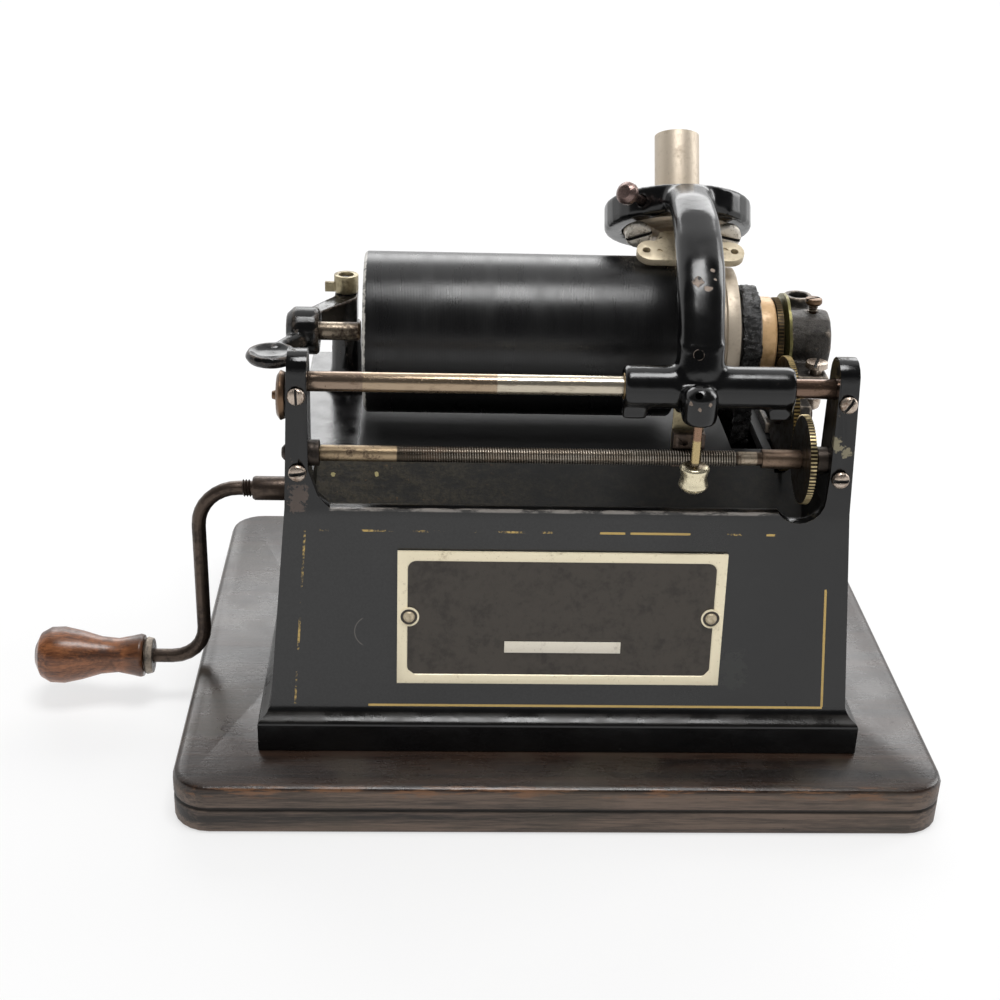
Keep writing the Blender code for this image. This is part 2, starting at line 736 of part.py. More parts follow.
def above_deck_cut():
    """Everything behind the ears and above their round tops."""
    centre = (EAR_BACK - EAR_ROUND, EAR_TOP - EAR_ROUND)
    far_front = -SKIRT_HALF_DEPTH - OVERRUN
    far_back = SKIRT_HALF_DEPTH + OVERRUN
    roof = EAR_TOP + OVERRUN
    outline = [(far_front, roof), (far_front, centre[1])]
    outline += arc(centre, EAR_ROUND, math.pi, 0, 8)
    corner = (EAR_BACK + EAR_FILLET, DECK_TOP + EAR_FILLET)
    outline += arc(corner, EAR_FILLET, math.pi, 1.5 * math.pi, 4)
    outline += [(far_back, DECK_TOP), (far_back, roof)]
    shape = bmesh.new()
    plate(shape, along_x(0, 0, 0), [outline], -SKIRT_HALF_WIDTH, SKIRT_HALF_WIDTH)
    return shape


def notch_cut():
    """Wide notch between the ears, with the feed gear's pocket at the right."""
    roof = EAR_TOP + OVERRUN
    pocket = (POCKET_CENTRE_X, POCKET_CENTRE_Z)
    start = math.asin((FACE_TOP - POCKET_CENTRE_Z) / POCKET_RADIUS)
    outline = [(-EAR_INNER, roof), (-EAR_INNER, FACE_TOP + NOTCH_RISE)]
    outline += [(-EAR_INNER + NOTCH_RUN * 0.45, FACE_TOP + NOTCH_RISE * 0.30),
                (-EAR_INNER + NOTCH_RUN, FACE_TOP)]
    outline += arc(pocket, POCKET_RADIUS, math.pi - start, 2 * math.pi, 8)
    outline += [(EAR_INNER, FACE_TOP + NOTCH_RISE), (EAR_INNER, roof)]
    shape = bmesh.new()
    plate(shape, along_y(0, 0, 0), [outline], -SKIRT_HALF_DEPTH - OVERRUN,
          EAR_BACK + EAR_FILLET + OVERRUN)
    return shape


def trough_cut():
    """Trough in front of the deck, under the feed screw."""
    roof = EAR_TOP + OVERRUN
    outline = [
        (TROUGH_FRONT, roof), (TROUGH_FRONT, TROUGH_FLOOR), (TROUGH_BACK, TROUGH_FLOOR),
        (TROUGH_BACK * 0.85, TROUGH_FLOOR + DECK_THICKNESS * 0.6),
        (DECK_FRONT, DECK_TOP), (DECK_FRONT, roof),
    ]
    shape = bmesh.new()
    plate(shape, along_x(0, 0, 0), [outline], -EAR_INNER, EAR_INNER)
    return shape


def leaning_prism(outline, gap):
    """YZ outline extruded across the body, a wall in from its leaning sides."""
    shape = bmesh.new()
    plate(shape, along_x(0, 0, 0), [outline], -1, 1)
    for vert in shape.verts:
        half = ramp(vert.co.z, FACE_FLOOR, FACE_TOP,
                    FACE_FLOOR_HALF_WIDTH, FACE_TOP_HALF_WIDTH)
        vert.co.x *= half - gap
    return shape


def cavity_cut():
    """Room for the motor under the deck."""
    floor = BODY_FLOOR + END_LUG_HEIGHT
    low = FACE_FLOOR_HALF_DEPTH - WALL
    high = FACE_TOP_HALF_DEPTH - WALL
    trough_under = TROUGH_FLOOR - DECK_THICKNESS
    deck_under = DECK_TOP - DECK_THICKNESS
    outline = [
        (-low, floor), (-ramp(trough_under, FACE_FLOOR, FACE_TOP, low, high), trough_under),
        (TROUGH_BACK + DECK_THICKNESS * 0.4, trough_under),
        (DECK_FRONT + DECK_THICKNESS * 0.6, deck_under),
        (high, deck_under), (low, FACE_FLOOR), (low, floor),
    ]
    return leaning_prism(outline, WALL)


def mouth_cut():
    """Opening under the cavity, less the lug at each end."""
    half_x = FACE_FLOOR_HALF_WIDTH - WALL
    half_y = FACE_FLOOR_HALF_DEPTH - WALL
    lug_x, lug_y = half_x - END_LUG, END_LUG / 2
    right = [(half_x, -half_y), (half_x, -lug_y), (lug_x, -lug_y), (lug_x, lug_y),
             (half_x, lug_y), (half_x, half_y)]
    left = [(-x, -y) for x, y in right]
    shape = bmesh.new()
    plate(shape, along_z(0, 0, 0), [right + left], BODY_FLOOR - OVERRUN,
          BODY_FLOOR + END_LUG_HEIGHT + FIT)
    return shape


def body_bores():
    """Round holes for rods, bushes, screws, the crank and the gate post."""
    shape = bmesh.new()
    for side in (-1, 1):
        near, far = side * (EAR_INNER - OVERRUN), side * SKIRT_HALF_WIDTH
        rod(shape, along_x(0, ROD_Y, ROD_Z), ROD_RADIUS + FIT, near, far, 16)
        rod(shape, along_x(0, ROD_Y, SCREW_Z), BUSH_RADIUS + FIT, near, far, 16)
    rod(shape, along_x(0, CRANK_Y, CRANK_Z), CRANK_BUSH_RADIUS + FIT, -SKIRT_HALF_WIDTH,
        WALL + OVERRUN - body_half_width(CRANK_Z), 20)
    for x, y, radius in deck_holes():
        rod(shape, along_z(x, y, 0), radius, DECK_TOP - DECK_THICKNESS - OVERRUN,
            DECK_TOP + OVERRUN, 8)
    for x, y in board_screw_places().values():
        rod(shape, along_z(x, y, 0), BOARD_SCREW_RADIUS + FIT, BODY_FLOOR - OVERRUN,
            BODY_FLOOR + END_LUG_HEIGHT + OVERRUN, 8)
    return shape


def ear_screw_bores():
    """Small holes behind the ear screws' heads."""
    shape = bmesh.new()
    for x, z, stop in ear_screw_places().values():
        rod(shape, along_y(x, 0, z), EAR_SCREW_SHANK + FIT, body_front(z) - OVERRUN,
            stop + FIT, 8)
    return shape


def ear_screw_places():
    """X and Z of each screw in the ears' fronts, and the Y its tip reaches."""
    places = {}
    for name, side in (("left", -1), ("right", 1)):
        for level, z, held in (("upper", EAR_SCREW_UPPER, ROD_RADIUS),
                               ("lower", EAR_SCREW_LOWER, BUSH_RADIUS)):
            places[f"{level}_{name}"] = (side * EAR_SCREW_X, z, ROD_Y - held - FIT * 3)
    return places


def foot_screw_places():
    """Screws through the bearing bracket's foot."""
    x = BRACKET_FOOT_LEFT + LUG_SCREW_RADIUS * 2
    inset = LUG_SCREW_RADIUS * 2.5
    return {"front": (x, BRACKET_FOOT_FRONT + inset), "back": (x, BRACKET_FOOT_BACK - inset)}


def motor_screw_places():
    """Screws that hang the motor frame's flanges from the deck."""
    inset = PLATE_THICKNESS + LUG_SCREW_RADIUS * 2.2
    return {"left": (PLATE_LEFT + inset, FLANGE_Y),
            "right": (PLATE_RIGHT + PLATE_THICKNESS - inset, FLANGE_Y)}


def deck_holes():
    """X, Y and radius of each round hole in the deck."""
    screws = [*foot_screw_places().values(), *motor_screw_places().values()]
    holes = [(x, y, LUG_SCREW_RADIUS + FIT) for x, y in screws]
    holes.append((GATE_X, GATE_Y, HINGE_PIN_RADIUS + FIT))
    return holes


def belt_slot_cut():
    """Slots in the deck for the belt and for the idler's lower rim."""
    low, high = DECK_TOP - DECK_THICKNESS - OVERRUN, DECK_TOP + OVERRUN
    shape = bmesh.new()
    block(shape, (BELT_LEFT - EDGE * 2, DECK_FRONT + DECK_THICKNESS, low),
          (BELT_RIGHT + EDGE * 3, MANDREL_Y + BELT_SEAT_RADIUS, high))
    idler = idler_centre()
    reach = feed_pitch(IDLER_TEETH) + FEED_MODULE + EDGE
    back = idler.x + math.sqrt(reach ** 2 - (idler.y - DECK_TOP) ** 2)
    block(shape, (GEAR_LEFT - EDGE, DECK_FRONT - DECK_THICKNESS, low - OVERRUN),
          (GEAR_LEFT + GEAR_FACE + EDGE, back, high))
    return shape


def make_body():
    """The cast body: skirt, walls, deck, trough and ears in one."""
    body = piece("body_casting", body_outer(), "japan_black")
    for shape in (above_deck_cut(), notch_cut(), trough_cut(), cavity_cut(),
                  mouth_cut(), belt_slot_cut(), body_bores(), ear_screw_bores()):
        combine(body, shape, "DIFFERENCE")


def front_face_place():
    """Place on the front face, its Y up the slope and its Z out of it."""
    rise = FACE_TOP - FACE_FLOOR
    back = FACE_FLOOR_HALF_DEPTH - FACE_TOP_HALF_DEPTH
    lean = math.atan2(back, rise)
    turn = Matrix.Rotation(math.pi / 2 - lean, 4, "X")
    z = NAME_PLATE_LOW
    return Matrix.Translation((NAME_PLATE_X, body_front(z), z)) @ turn


def make_name_plate():
    """Bare plate with a raised border."""
    half = NAME_PLATE_WIDTH / 2
    shape = bmesh.new()
    plate(shape, along_z(0, 0, 0), [rectangle(-half, 0, half, NAME_PLATE_HEIGHT)],
          FIT, FIT + NAME_PLATE_THICKNESS)
    bmesh.ops.recalc_face_normals(shape, faces=shape.faces[:])
    bmesh.ops.dissolve_limit(shape, angle_limit=math.radians(1), verts=shape.verts[:],
                             edges=shape.edges[:])
    top = [face for face in shape.faces if face.normal.z > 0.9]
    bmesh.ops.inset_region(shape, faces=top, thickness=NAME_PLATE_BORDER)
    bmesh.ops.inset_region(shape, faces=top, thickness=NAME_PLATE_RECESS)
    for vert in {vert for face in top for vert in face.verts}:
        vert.co.z -= NAME_PLATE_RECESS
    shape.transform(front_face_place())
    piece("name_plate", shape, "plate_panel")


def rod(target, place, radius, near, far, sides):
    """Plain round bar between two places along the place's Z."""
    turned(target, place, [(near, 0), (near, radius), (far, radius), (far, 0)], sides)


def make_ear_fittings():
    """Screws, bushes, guide rod and end cap on the two ears."""
    head, dome = EAR_SCREW_HEAD, EAR_SCREW_DOME
    for name, (x, z, stop) in ear_screw_places().items():
        seat = body_front(z - head) - FIT
        shape = bmesh.new()
        turned(shape, along_y(x, 0, z),
               [(seat - dome, 0), (seat - dome, head * 0.45), (seat - dome * 0.7, head * 0.85),
                (seat - dome * 0.3, head), (seat, head), (seat, EAR_SCREW_SHANK),
                (stop, EAR_SCREW_SHANK), (stop, 0)], 12)
        piece(f"ear_screw_{name}", shape, "steel")
    bore, button = JOURNAL_RADIUS + FIT, BUSH_RADIUS * 0.6
    for name, side in (("left", -1), ("right", 1)):
        near, outer = side * BUSH_INNER, side * body_half_width(SCREW_Z + BUSH_RADIUS)
        blind = near + side * BUSH_DEPTH
        shape = bmesh.new()
        turned(shape, along_x(0, ROD_Y, SCREW_Z),
               [(blind, 0), (blind, bore), (near, bore), (near, BUSH_RADIUS),
                (outer, BUSH_RADIUS), (outer, button), (outer + side * EDGE, button),
                (outer + side * EDGE * 2, button * 0.6), (outer + side * EDGE * 2, 0)], 16)
        piece(f"feed_bush_{name}", shape, "brass")
    shape = bmesh.new()
    reach = body_half_width(ROD_Z) - FIT * 2
    rod(shape, along_x(0, ROD_Y, ROD_Z), ROD_RADIUS, -reach, reach, 16)
    piece("guide_rod", shape, "brass")
    shape = bmesh.new()
    centre = ROD_Z - END_CAP_DROP
    inner = -body_half_width(centre - END_CAP_RADIUS) - FIT
    turned(shape, along_x(inner, ROD_Y, centre),
           [(0, 0), (0, END_CAP_RADIUS * 0.92), (-END_CAP_THICKNESS * 0.5, END_CAP_RADIUS),
            (-END_CAP_THICKNESS * 0.85, END_CAP_RADIUS * 0.8),
            (-END_CAP_THICKNESS, END_CAP_RADIUS * 0.2),
            (-END_CAP_THICKNESS * 1.4, END_CAP_RADIUS * 0.15),
            (-END_CAP_THICKNESS * 1.4, 0)], 20)
    piece("rod_end_cap", shape, "brass")


def record_bore(x):
    """Radius of the record's tapered bore at a place along it."""
    return ramp(x, RECORD_LEFT, RECORD_RIGHT, RECORD_BORE_LEFT, RECORD_BORE_RIGHT)


def make_mandrel(axis):
    """Record, tapered mandrel and their shaft."""
    place = along_x(0, MANDREL_Y, MANDREL_Z)
    shape = bmesh.new()
    turned(shape, place,
           [(RECORD_LEFT, RECORD_BORE_LEFT + EDGE), (RECORD_LEFT, RECORD_RADIUS - EDGE),
            (RECORD_LEFT + EDGE, RECORD_RADIUS), (RECORD_RIGHT - EDGE, RECORD_RADIUS),
            (RECORD_RIGHT, RECORD_RADIUS - EDGE), (RECORD_RIGHT, RECORD_BORE_RIGHT),
            (RECORD_LEFT + EDGE, RECORD_BORE_LEFT)], 44)
    piece("wax_record", shape, "wax", axis)
    shape = bmesh.new()
    bore = SHAFT_RADIUS + FIT
    band, groove = MANDREL_BAND_RIGHT, MANDREL_WALL / 4
    outer = record_bore(band) - FIT
    inner_left = MANDREL_LEFT + MANDREL_WALL
    turned(shape, place,
           [(MANDREL_LEFT, bore), (MANDREL_LEFT, record_bore(MANDREL_LEFT) - FIT),
            (band, outer), (band, outer - groove), (band + groove * 2, outer - groove),
            (band + groove * 2, MANDREL_RIM_RADIUS), (MANDREL_RIGHT, MANDREL_RIM_RADIUS),
            (MANDREL_RIGHT, outer - MANDREL_WALL),
            (inner_left, record_bore(inner_left) - FIT - MANDREL_WALL), (inner_left, bore)], 36)
    piece("mandrel", shape, "nickel", axis)
    shape = bmesh.new()
    turned(shape, place,
           [(SHAFT_LEFT - SHAFT_POINT, 0), (SHAFT_LEFT, SHAFT_RADIUS),
            (SHAFT_RIGHT, SHAFT_RADIUS), (SHAFT_RIGHT, 0)], 16)
    piece("mandrel_shaft", shape, "steel", axis)


def make_mandrel_drive(axis):
    """Pulley, drum, gear and flange at the mandrel shaft's right end."""
    place = along_x(0, MANDREL_Y, MANDREL_Z)
    bore = SHAFT_RADIUS + FIT
    shape = bmesh.new()
    flange = BELT_SEAT_RADIUS + EDGE
    turned(shape, place,
           [(PULLEY_LEFT, bore), (PULLEY_LEFT, flange), (BELT_LEFT - FIT, flange),
            (BELT_LEFT - FIT, BELT_SEAT_RADIUS), (PULLEY_RIGHT, BELT_SEAT_RADIUS),
            (PULLEY_RIGHT, bore)], 32)
    piece("mandrel_pulley", shape, "worn_iron", axis)
    shape = bmesh.new()
    left, right = PULLEY_RIGHT + FIT, GEAR_LEFT - FIT
    turned(shape, place,
           [(left, bore), (left, DRUM_RADIUS), (right - EDGE, DRUM_RADIUS),
            (right, DRUM_RADIUS - EDGE), (right, bore)], 32)
    piece("pulley_drum", shape, "tan_drum", axis)
    shape = bmesh.new()
    plate(shape, along_x(GEAR_LEFT, MANDREL_Y, MANDREL_Z),
          [gear_outline(FEED_TEETH, FEED_MODULE), circle((0, 0), bore, 16)], 0, GEAR_FACE)
    piece("mandrel_gear", shape, "brass", axis)
    shape = bmesh.new()
    near, hub = GEAR_LEFT + GEAR_FACE + FIT, SHAFT_RADIUS * 1.7
    far = near + FLANGE_DISH
    turned(shape, place,
           [(near, bore), (near, FLANGE_RADIUS * 0.55), (far, FLANGE_RADIUS),
            (far + FLANGE_THICKNESS, FLANGE_RADIUS),
            (near + FLANGE_THICKNESS, FLANGE_RADIUS * 0.5), (near + FLANGE_THICKNESS, hub),
            (BRACKET_LEFT - FIT, hub), (BRACKET_LEFT - FIT, bore)], 28)
    piece("mandrel_flange", shape, "brass", axis)


def feed_pitch(teeth):
    """Pitch radius of a wheel of the feed train."""
    return teeth * FEED_MODULE / 2


def idler_centre():
    """Y and Z of the idler, in mesh with both of its neighbours."""
    reach = feed_pitch(FEED_TEETH) + feed_pitch(IDLER_TEETH) + TRAIN_SLACK
    start, end = Vector((ROD_Y, SCREW_Z)), Vector((MANDREL_Y, MANDREL_Z))
    half = (end - start) / 2
    drop = math.sqrt(reach ** 2 - half.length ** 2)
    square = Vector((half.y, -half.x)).normalized()
    return start + half + square * drop


def mesh_turn(teeth, own, other, other_teeth, other_turn):
    """Turn of a gear that puts a gap where the other gear's tooth points."""
    to_other = math.atan2(other[1] - own[1], other[0] - own[0])
    facing = to_other + math.pi
    phase = (facing - other_turn) * other_teeth
    return to_other + math.pi / teeth + phase / teeth


def make_feed_train(idler_axis, screw_axis):
    """Idler, feed gear and feed screw."""
    mandrel, screw = (MANDREL_Y, MANDREL_Z), (ROD_Y, SCREW_Z)
    idler = tuple(idler_centre())
    idler_turn = mesh_turn(IDLER_TEETH, idler, mandrel, FEED_TEETH, 0)
    screw_turn = mesh_turn(FEED_TEETH, screw, idler, IDLER_TEETH, idler_turn)
    shape = bmesh.new()
    outline = turned_outline(gear_outline(IDLER_TEETH, FEED_MODULE), idler_turn)
    plate(shape, along_x(GEAR_LEFT, *idler),
          [outline, circle((0, 0), STUD_RADIUS + FIT, 12)], 0, GEAR_FACE)
    piece("idler_gear", shape, "brass", idler_axis)
    shape = bmesh.new()
    outline = turned_outline(gear_outline(FEED_TEETH, FEED_MODULE), screw_turn)
    plate(shape, along_x(GEAR_LEFT, *screw),
          [outline, circle((0, 0), SCREW_RADIUS + FIT, 12)], 0, GEAR_FACE)
    piece("feed_gear", shape, "brass", screw_axis)
    shape = bmesh.new()
    shoulder, end = BUSH_INNER - FIT, BUSH_INNER + BUSH_DEPTH - FIT
    root = SCREW_RADIUS * 0.86
    turned(shape, along_x(0, *screw),
           [(-end, 0), (-end, JOURNAL_RADIUS), (-shoulder, JOURNAL_RADIUS),
            (-shoulder, SCREW_RADIUS), (THREAD_RIGHT, SCREW_RADIUS),
            (THREAD_RIGHT, root), (COLLAR_LEFT, root), (COLLAR_LEFT, COLLAR_RADIUS),
            (GEAR_LEFT - FIT, COLLAR_RADIUS), (GEAR_LEFT - FIT, SCREW_RADIUS),
            (shoulder, SCREW_RADIUS), (shoulder, JOURNAL_RADIUS), (end, JOURNAL_RADIUS),
            (end, 0)], 16)
    piece("feed_screw", shape, "steel", screw_axis)


def bracket_outline():
    """Web of the bearing bracket, with an arm to the idler stud."""
    idler = idler_centre()
    half = STUD_RADIUS * 2
    neck = BRACKET_RADIUS * 0.95
    pedestal = pedestal_outline()
    return [*pedestal[:-2], (MANDREL_Y - neck, idler.y + half),
            (idler.x - half, idler.y + half), (idler.x - half, idler.y - half),
            (BRACKET_FOOT_FRONT + BRACKET_FOOT_HEIGHT, DECK_TOP + BRACKET_FOOT_HEIGHT * 2),
            pedestal[-1]]


def pedestal_outline():
    """Pedestal under the bearing, round over the top."""
    foot = DECK_TOP + FIT
    neck = BRACKET_RADIUS * 0.95
    top = arc((MANDREL_Y, MANDREL_Z), neck, math.radians(-25), math.radians(205), 10)
    return [(BRACKET_FOOT_BACK, foot), (BRACKET_FOOT_BACK, foot + BRACKET_FOOT_HEIGHT),
            (MANDREL_Y + neck, MANDREL_Z - BRACKET_RADIUS), *top,
            (MANDREL_Y - neck, MANDREL_Z - BRACKET_RADIUS), (BRACKET_FOOT_FRONT, foot)]


def make_bracket():
    """Right-hand bearing bracket, cast with its oil cup and lugs."""
    foot = DECK_TOP + FIT
    shape = bmesh.new()
    plate(shape, along_x(0, 0, 0), [bracket_outline()], BRACKET_WEB_LEFT, BRACKET_WEB_RIGHT)
    bracket = piece("bearing_bracket", shape, "worn_iron")
    shape = bmesh.new()
    plate(shape, along_x(0, 0, 0), [pedestal_outline()], BRACKET_WEB_RIGHT - EDGE,
          BRACKET_FOOT_RIGHT)
    combine(bracket, shape, "UNION")
    shape = bmesh.new()
    block(shape, (BRACKET_FOOT_LEFT, BRACKET_FOOT_FRONT + EDGE, foot),
          (BRACKET_WEB_LEFT + EDGE, BRACKET_FOOT_BACK - EDGE, foot + BRACKET_FOOT_HEIGHT))
    combine(bracket, shape, "UNION")
    shape = bmesh.new()
    turned(shape, along_x(0, MANDREL_Y, MANDREL_Z),
           [(BRACKET_LEFT, 0), (BRACKET_LEFT, BRACKET_RADIUS - EDGE),
            (BRACKET_LEFT + EDGE, BRACKET_RADIUS), (BRACKET_RIGHT - EDGE, BRACKET_RADIUS),
            (BRACKET_RIGHT, BRACKET_RADIUS - EDGE), (BRACKET_RIGHT, 0)], 12)
    combine(bracket, shape, "UNION")
    lug_top = OIL_CUP_TOP - OIL_CUP_HEIGHT
    shape = bmesh.new()
    block(shape, (OIL_CUP_X - OIL_LUG_HALF, MANDREL_Y, MANDREL_Z - BRACKET_RADIUS * 0.4),
          (OIL_CUP_X + OIL_LUG_HALF, OIL_CUP_Y + OIL_LUG_HALF, lug_top))
    combine(bracket, shape, "UNION")
    shape = bmesh.new()
    turned(shape, along_z(OIL_CUP_X, OIL_CUP_Y, 0),
           [(lug_top - EDGE, OIL_CUP_BORE), (lug_top - EDGE, OIL_LUG_HALF * 0.9),
            (lug_top + EDGE / 2, OIL_LUG_HALF * 0.95), (lug_top + EDGE, OIL_CUP_RADIUS),
            (OIL_CUP_TOP, OIL_CUP_RADIUS), (OIL_CUP_TOP, OIL_CUP_BORE)], 20)
    combine(bracket, shape, "UNION")
    shape = bmesh.new()
    block(shape, (BRACKET_WEB_LEFT + EDGE, SPEED_SCREW_Y - SPEED_LUG_HALF, SPEED_LUG_BOTTOM),
          (SPEED_SCREW_X + SPEED_LUG_HALF, SPEED_SCREW_Y + SPEED_LUG_HALF * 2.9,
           SPEED_LUG_BOTTOM + SPEED_LUG_HEIGHT))
    combine(bracket, shape, "UNION")
    combine(bracket, bracket_bores(), "DIFFERENCE")


def bracket_bores():
    """Holes of the bearing bracket."""
    idler = idler_centre()
    foot = DECK_TOP + FIT
    shape = bmesh.new()
    clear = SHAFT_RADIUS * 2.6
    turned(shape, along_x(0, MANDREL_Y, MANDREL_Z),
           [(BRACKET_WEB_LEFT - OVERRUN, 0), (BRACKET_WEB_LEFT - OVERRUN, clear),
            (BRACKET_LEFT, clear), (BRACKET_LEFT, SHAFT_RADIUS + FIT),
            (BRACKET_RIGHT + OVERRUN, SHAFT_RADIUS + FIT), (BRACKET_RIGHT + OVERRUN, 0)], 16)
    rod(shape, along_x(0, idler.x, idler.y), STUD_RADIUS + FIT,
        BRACKET_WEB_LEFT - OVERRUN, BRACKET_WEB_RIGHT + OVERRUN, 12)
    rod(shape, along_z(cap_screw_x(), MANDREL_Y, 0), CAP_SCREW_SHANK + FIT,
        cap_screw_tip() - FIT, CAP_SCREW_TOP, 8)
    rod(shape, along_z(SPEED_SCREW_X, SPEED_SCREW_Y, 0), SPEED_SHANK_RADIUS + FIT,
        SPEED_LUG_BOTTOM - OVERRUN, SPEED_SCREW_TOP, 12)
    for x, y in foot_screw_places().values():
        rod(shape, along_z(x, y, 0), LUG_SCREW_RADIUS + FIT, foot - OVERRUN,
            foot + BRACKET_FOOT_HEIGHT + OVERRUN / 2, 8)
    return shape


def cap_screw_x():
    """X of the slotted screw on top of the bearing."""
    return (BRACKET_LEFT + BRACKET_RIGHT) / 2 - EDGE


def cap_screw_tip():
    """Height of the cap screw's tip, clear of the shaft."""
    return MANDREL_Z + SHAFT_RADIUS * 1.5


def make_bracket_fittings(speed_axis):
    """Cap screw, idler stud, deck screws and speed screw."""
    shape = bmesh.new()
    head = CAP_SCREW_TOP - CAP_SCREW_HEIGHT
    turned(shape, along_z(cap_screw_x(), MANDREL_Y, 0),
           [(cap_screw_tip(), 0), (cap_screw_tip(), CAP_SCREW_SHANK), (head, CAP_SCREW_SHANK),
            (head, CAP_SCREW_HEAD * 0.8), (head + EDGE, CAP_SCREW_HEAD),
            (CAP_SCREW_TOP, CAP_SCREW_HEAD * 0.9), (CAP_SCREW_TOP, 0)], 12)
    piece("bearing_cap_screw", shape, "worn_iron")
    idler = idler_centre()
    near, far = GEAR_LEFT - FIT, GEAR_LEFT + GEAR_FACE + FIT
    collar = STUD_RADIUS * 1.7
    shape = bmesh.new()
    turned(shape, along_x(0, idler.x, idler.y),
           [(near - GEAR_FACE, 0), (near - GEAR_FACE, collar), (near, collar),
            (near, STUD_RADIUS), (far, STUD_RADIUS), (far, collar),
            (BRACKET_WEB_LEFT - FIT, collar), (BRACKET_WEB_LEFT - FIT, STUD_RADIUS),
            (BRACKET_WEB_RIGHT + EDGE, STUD_RADIUS), (BRACKET_WEB_RIGHT + EDGE, 0)], 12)
    piece("idler_stud", shape, "steel")
    under = DECK_TOP - DECK_THICKNESS
    for side, (x, y) in foot_screw_places().items():
        seat = DECK_TOP + BRACKET_FOOT_HEIGHT + FIT * 2
        deck_screw(f"bracket_screw_{side}", x, y, seat, under)
    for side, (x, y) in motor_screw_places().items():
        deck_screw(f"motor_screw_{side}", x, y, DECK_TOP + FIT, under - PLATE_THICKNESS)
    shape = bmesh.new()
    top, tip_top = SPEED_SCREW_TOP, SPEED_LUG_BOTTOM - FIT
    head = top - SPEED_HEAD_RADIUS * 0.5
    low, round_tip = SPEED_SCREW_BOTTOM, SPEED_TIP_RADIUS
    turned(shape, along_z(SPEED_SCREW_X, SPEED_SCREW_Y, 0),
           [(low, 0), (low, round_tip * 0.4), (low + round_tip * 0.35, round_tip * 0.85),
            (low + round_tip, round_tip), (tip_top, round_tip), (tip_top, SPEED_SHANK_RADIUS),
            (head, SPEED_SHANK_RADIUS), (head, SPEED_HEAD_RADIUS),
            (top, SPEED_HEAD_RADIUS * 0.94), (top, 0)], 16)
    piece("speed_screw", shape, "nickel", speed_axis)


def deck_screw(name, x, y, seat, tip):
    """Pan-headed screw down through the deck."""
    head = LUG_SCREW_RADIUS * 1.8
    top = seat + LUG_SCREW_RADIUS
    shape = bmesh.new()
    turned(shape, along_z(x, y, 0),
           [(tip, 0), (tip, LUG_SCREW_RADIUS), (seat, LUG_SCREW_RADIUS), (seat, head),
            (top, head * 0.7), (top, 0)], 8)
    piece(name, shape, "steel")


def make_gate_post():
    """Post with its hinge pin, and the ring nut on top of it."""
    low = DECK_TOP - DECK_THICKNESS
    seat = DECK_TOP + FIT
    pin_top = RING_TOP - EDGE
    shape = bmesh.new()
    turned(shape, along_z(GATE_X, GATE_Y, 0),
           [(low, 0), (low, HINGE_PIN_RADIUS), (seat, HINGE_PIN_RADIUS),
            (seat, POST_FOOT_RADIUS), (seat + POST_FOOT_HEIGHT * 0.2, POST_FOOT_RADIUS),
            (seat + POST_FOOT_HEIGHT * 0.55, POST_RADIUS * 1.12),
            (seat + POST_FOOT_HEIGHT, POST_RADIUS), (POST_TOP, POST_RADIUS * 0.92),
            (POST_TOP, HINGE_PIN_RADIUS), (pin_top, HINGE_PIN_RADIUS), (pin_top, 0)], 16)
    piece("gate_post", shape, "japan_black")
    shape = bmesh.new()
    low = GATE_TOP + FIT
    bore = HINGE_PIN_RADIUS + FIT
    turned(shape, along_z(GATE_X, GATE_Y, 0),
           [(low, bore), (low, RING_RADIUS * 0.95), (low + EDGE, RING_RADIUS),
            (RING_TOP, RING_RADIUS), (RING_TOP, bore)], 20)
    nut = piece("gate_ring", shape, "brass")
    shape = bmesh.new()
    block(shape, (GATE_X - RING_RADIUS * 1.75, GATE_Y - EDGE, low),
          (GATE_X - RING_RADIUS * 0.8, GATE_Y + EDGE, low + RING_RADIUS * 0.8))
    combine(nut, shape, "UNION")


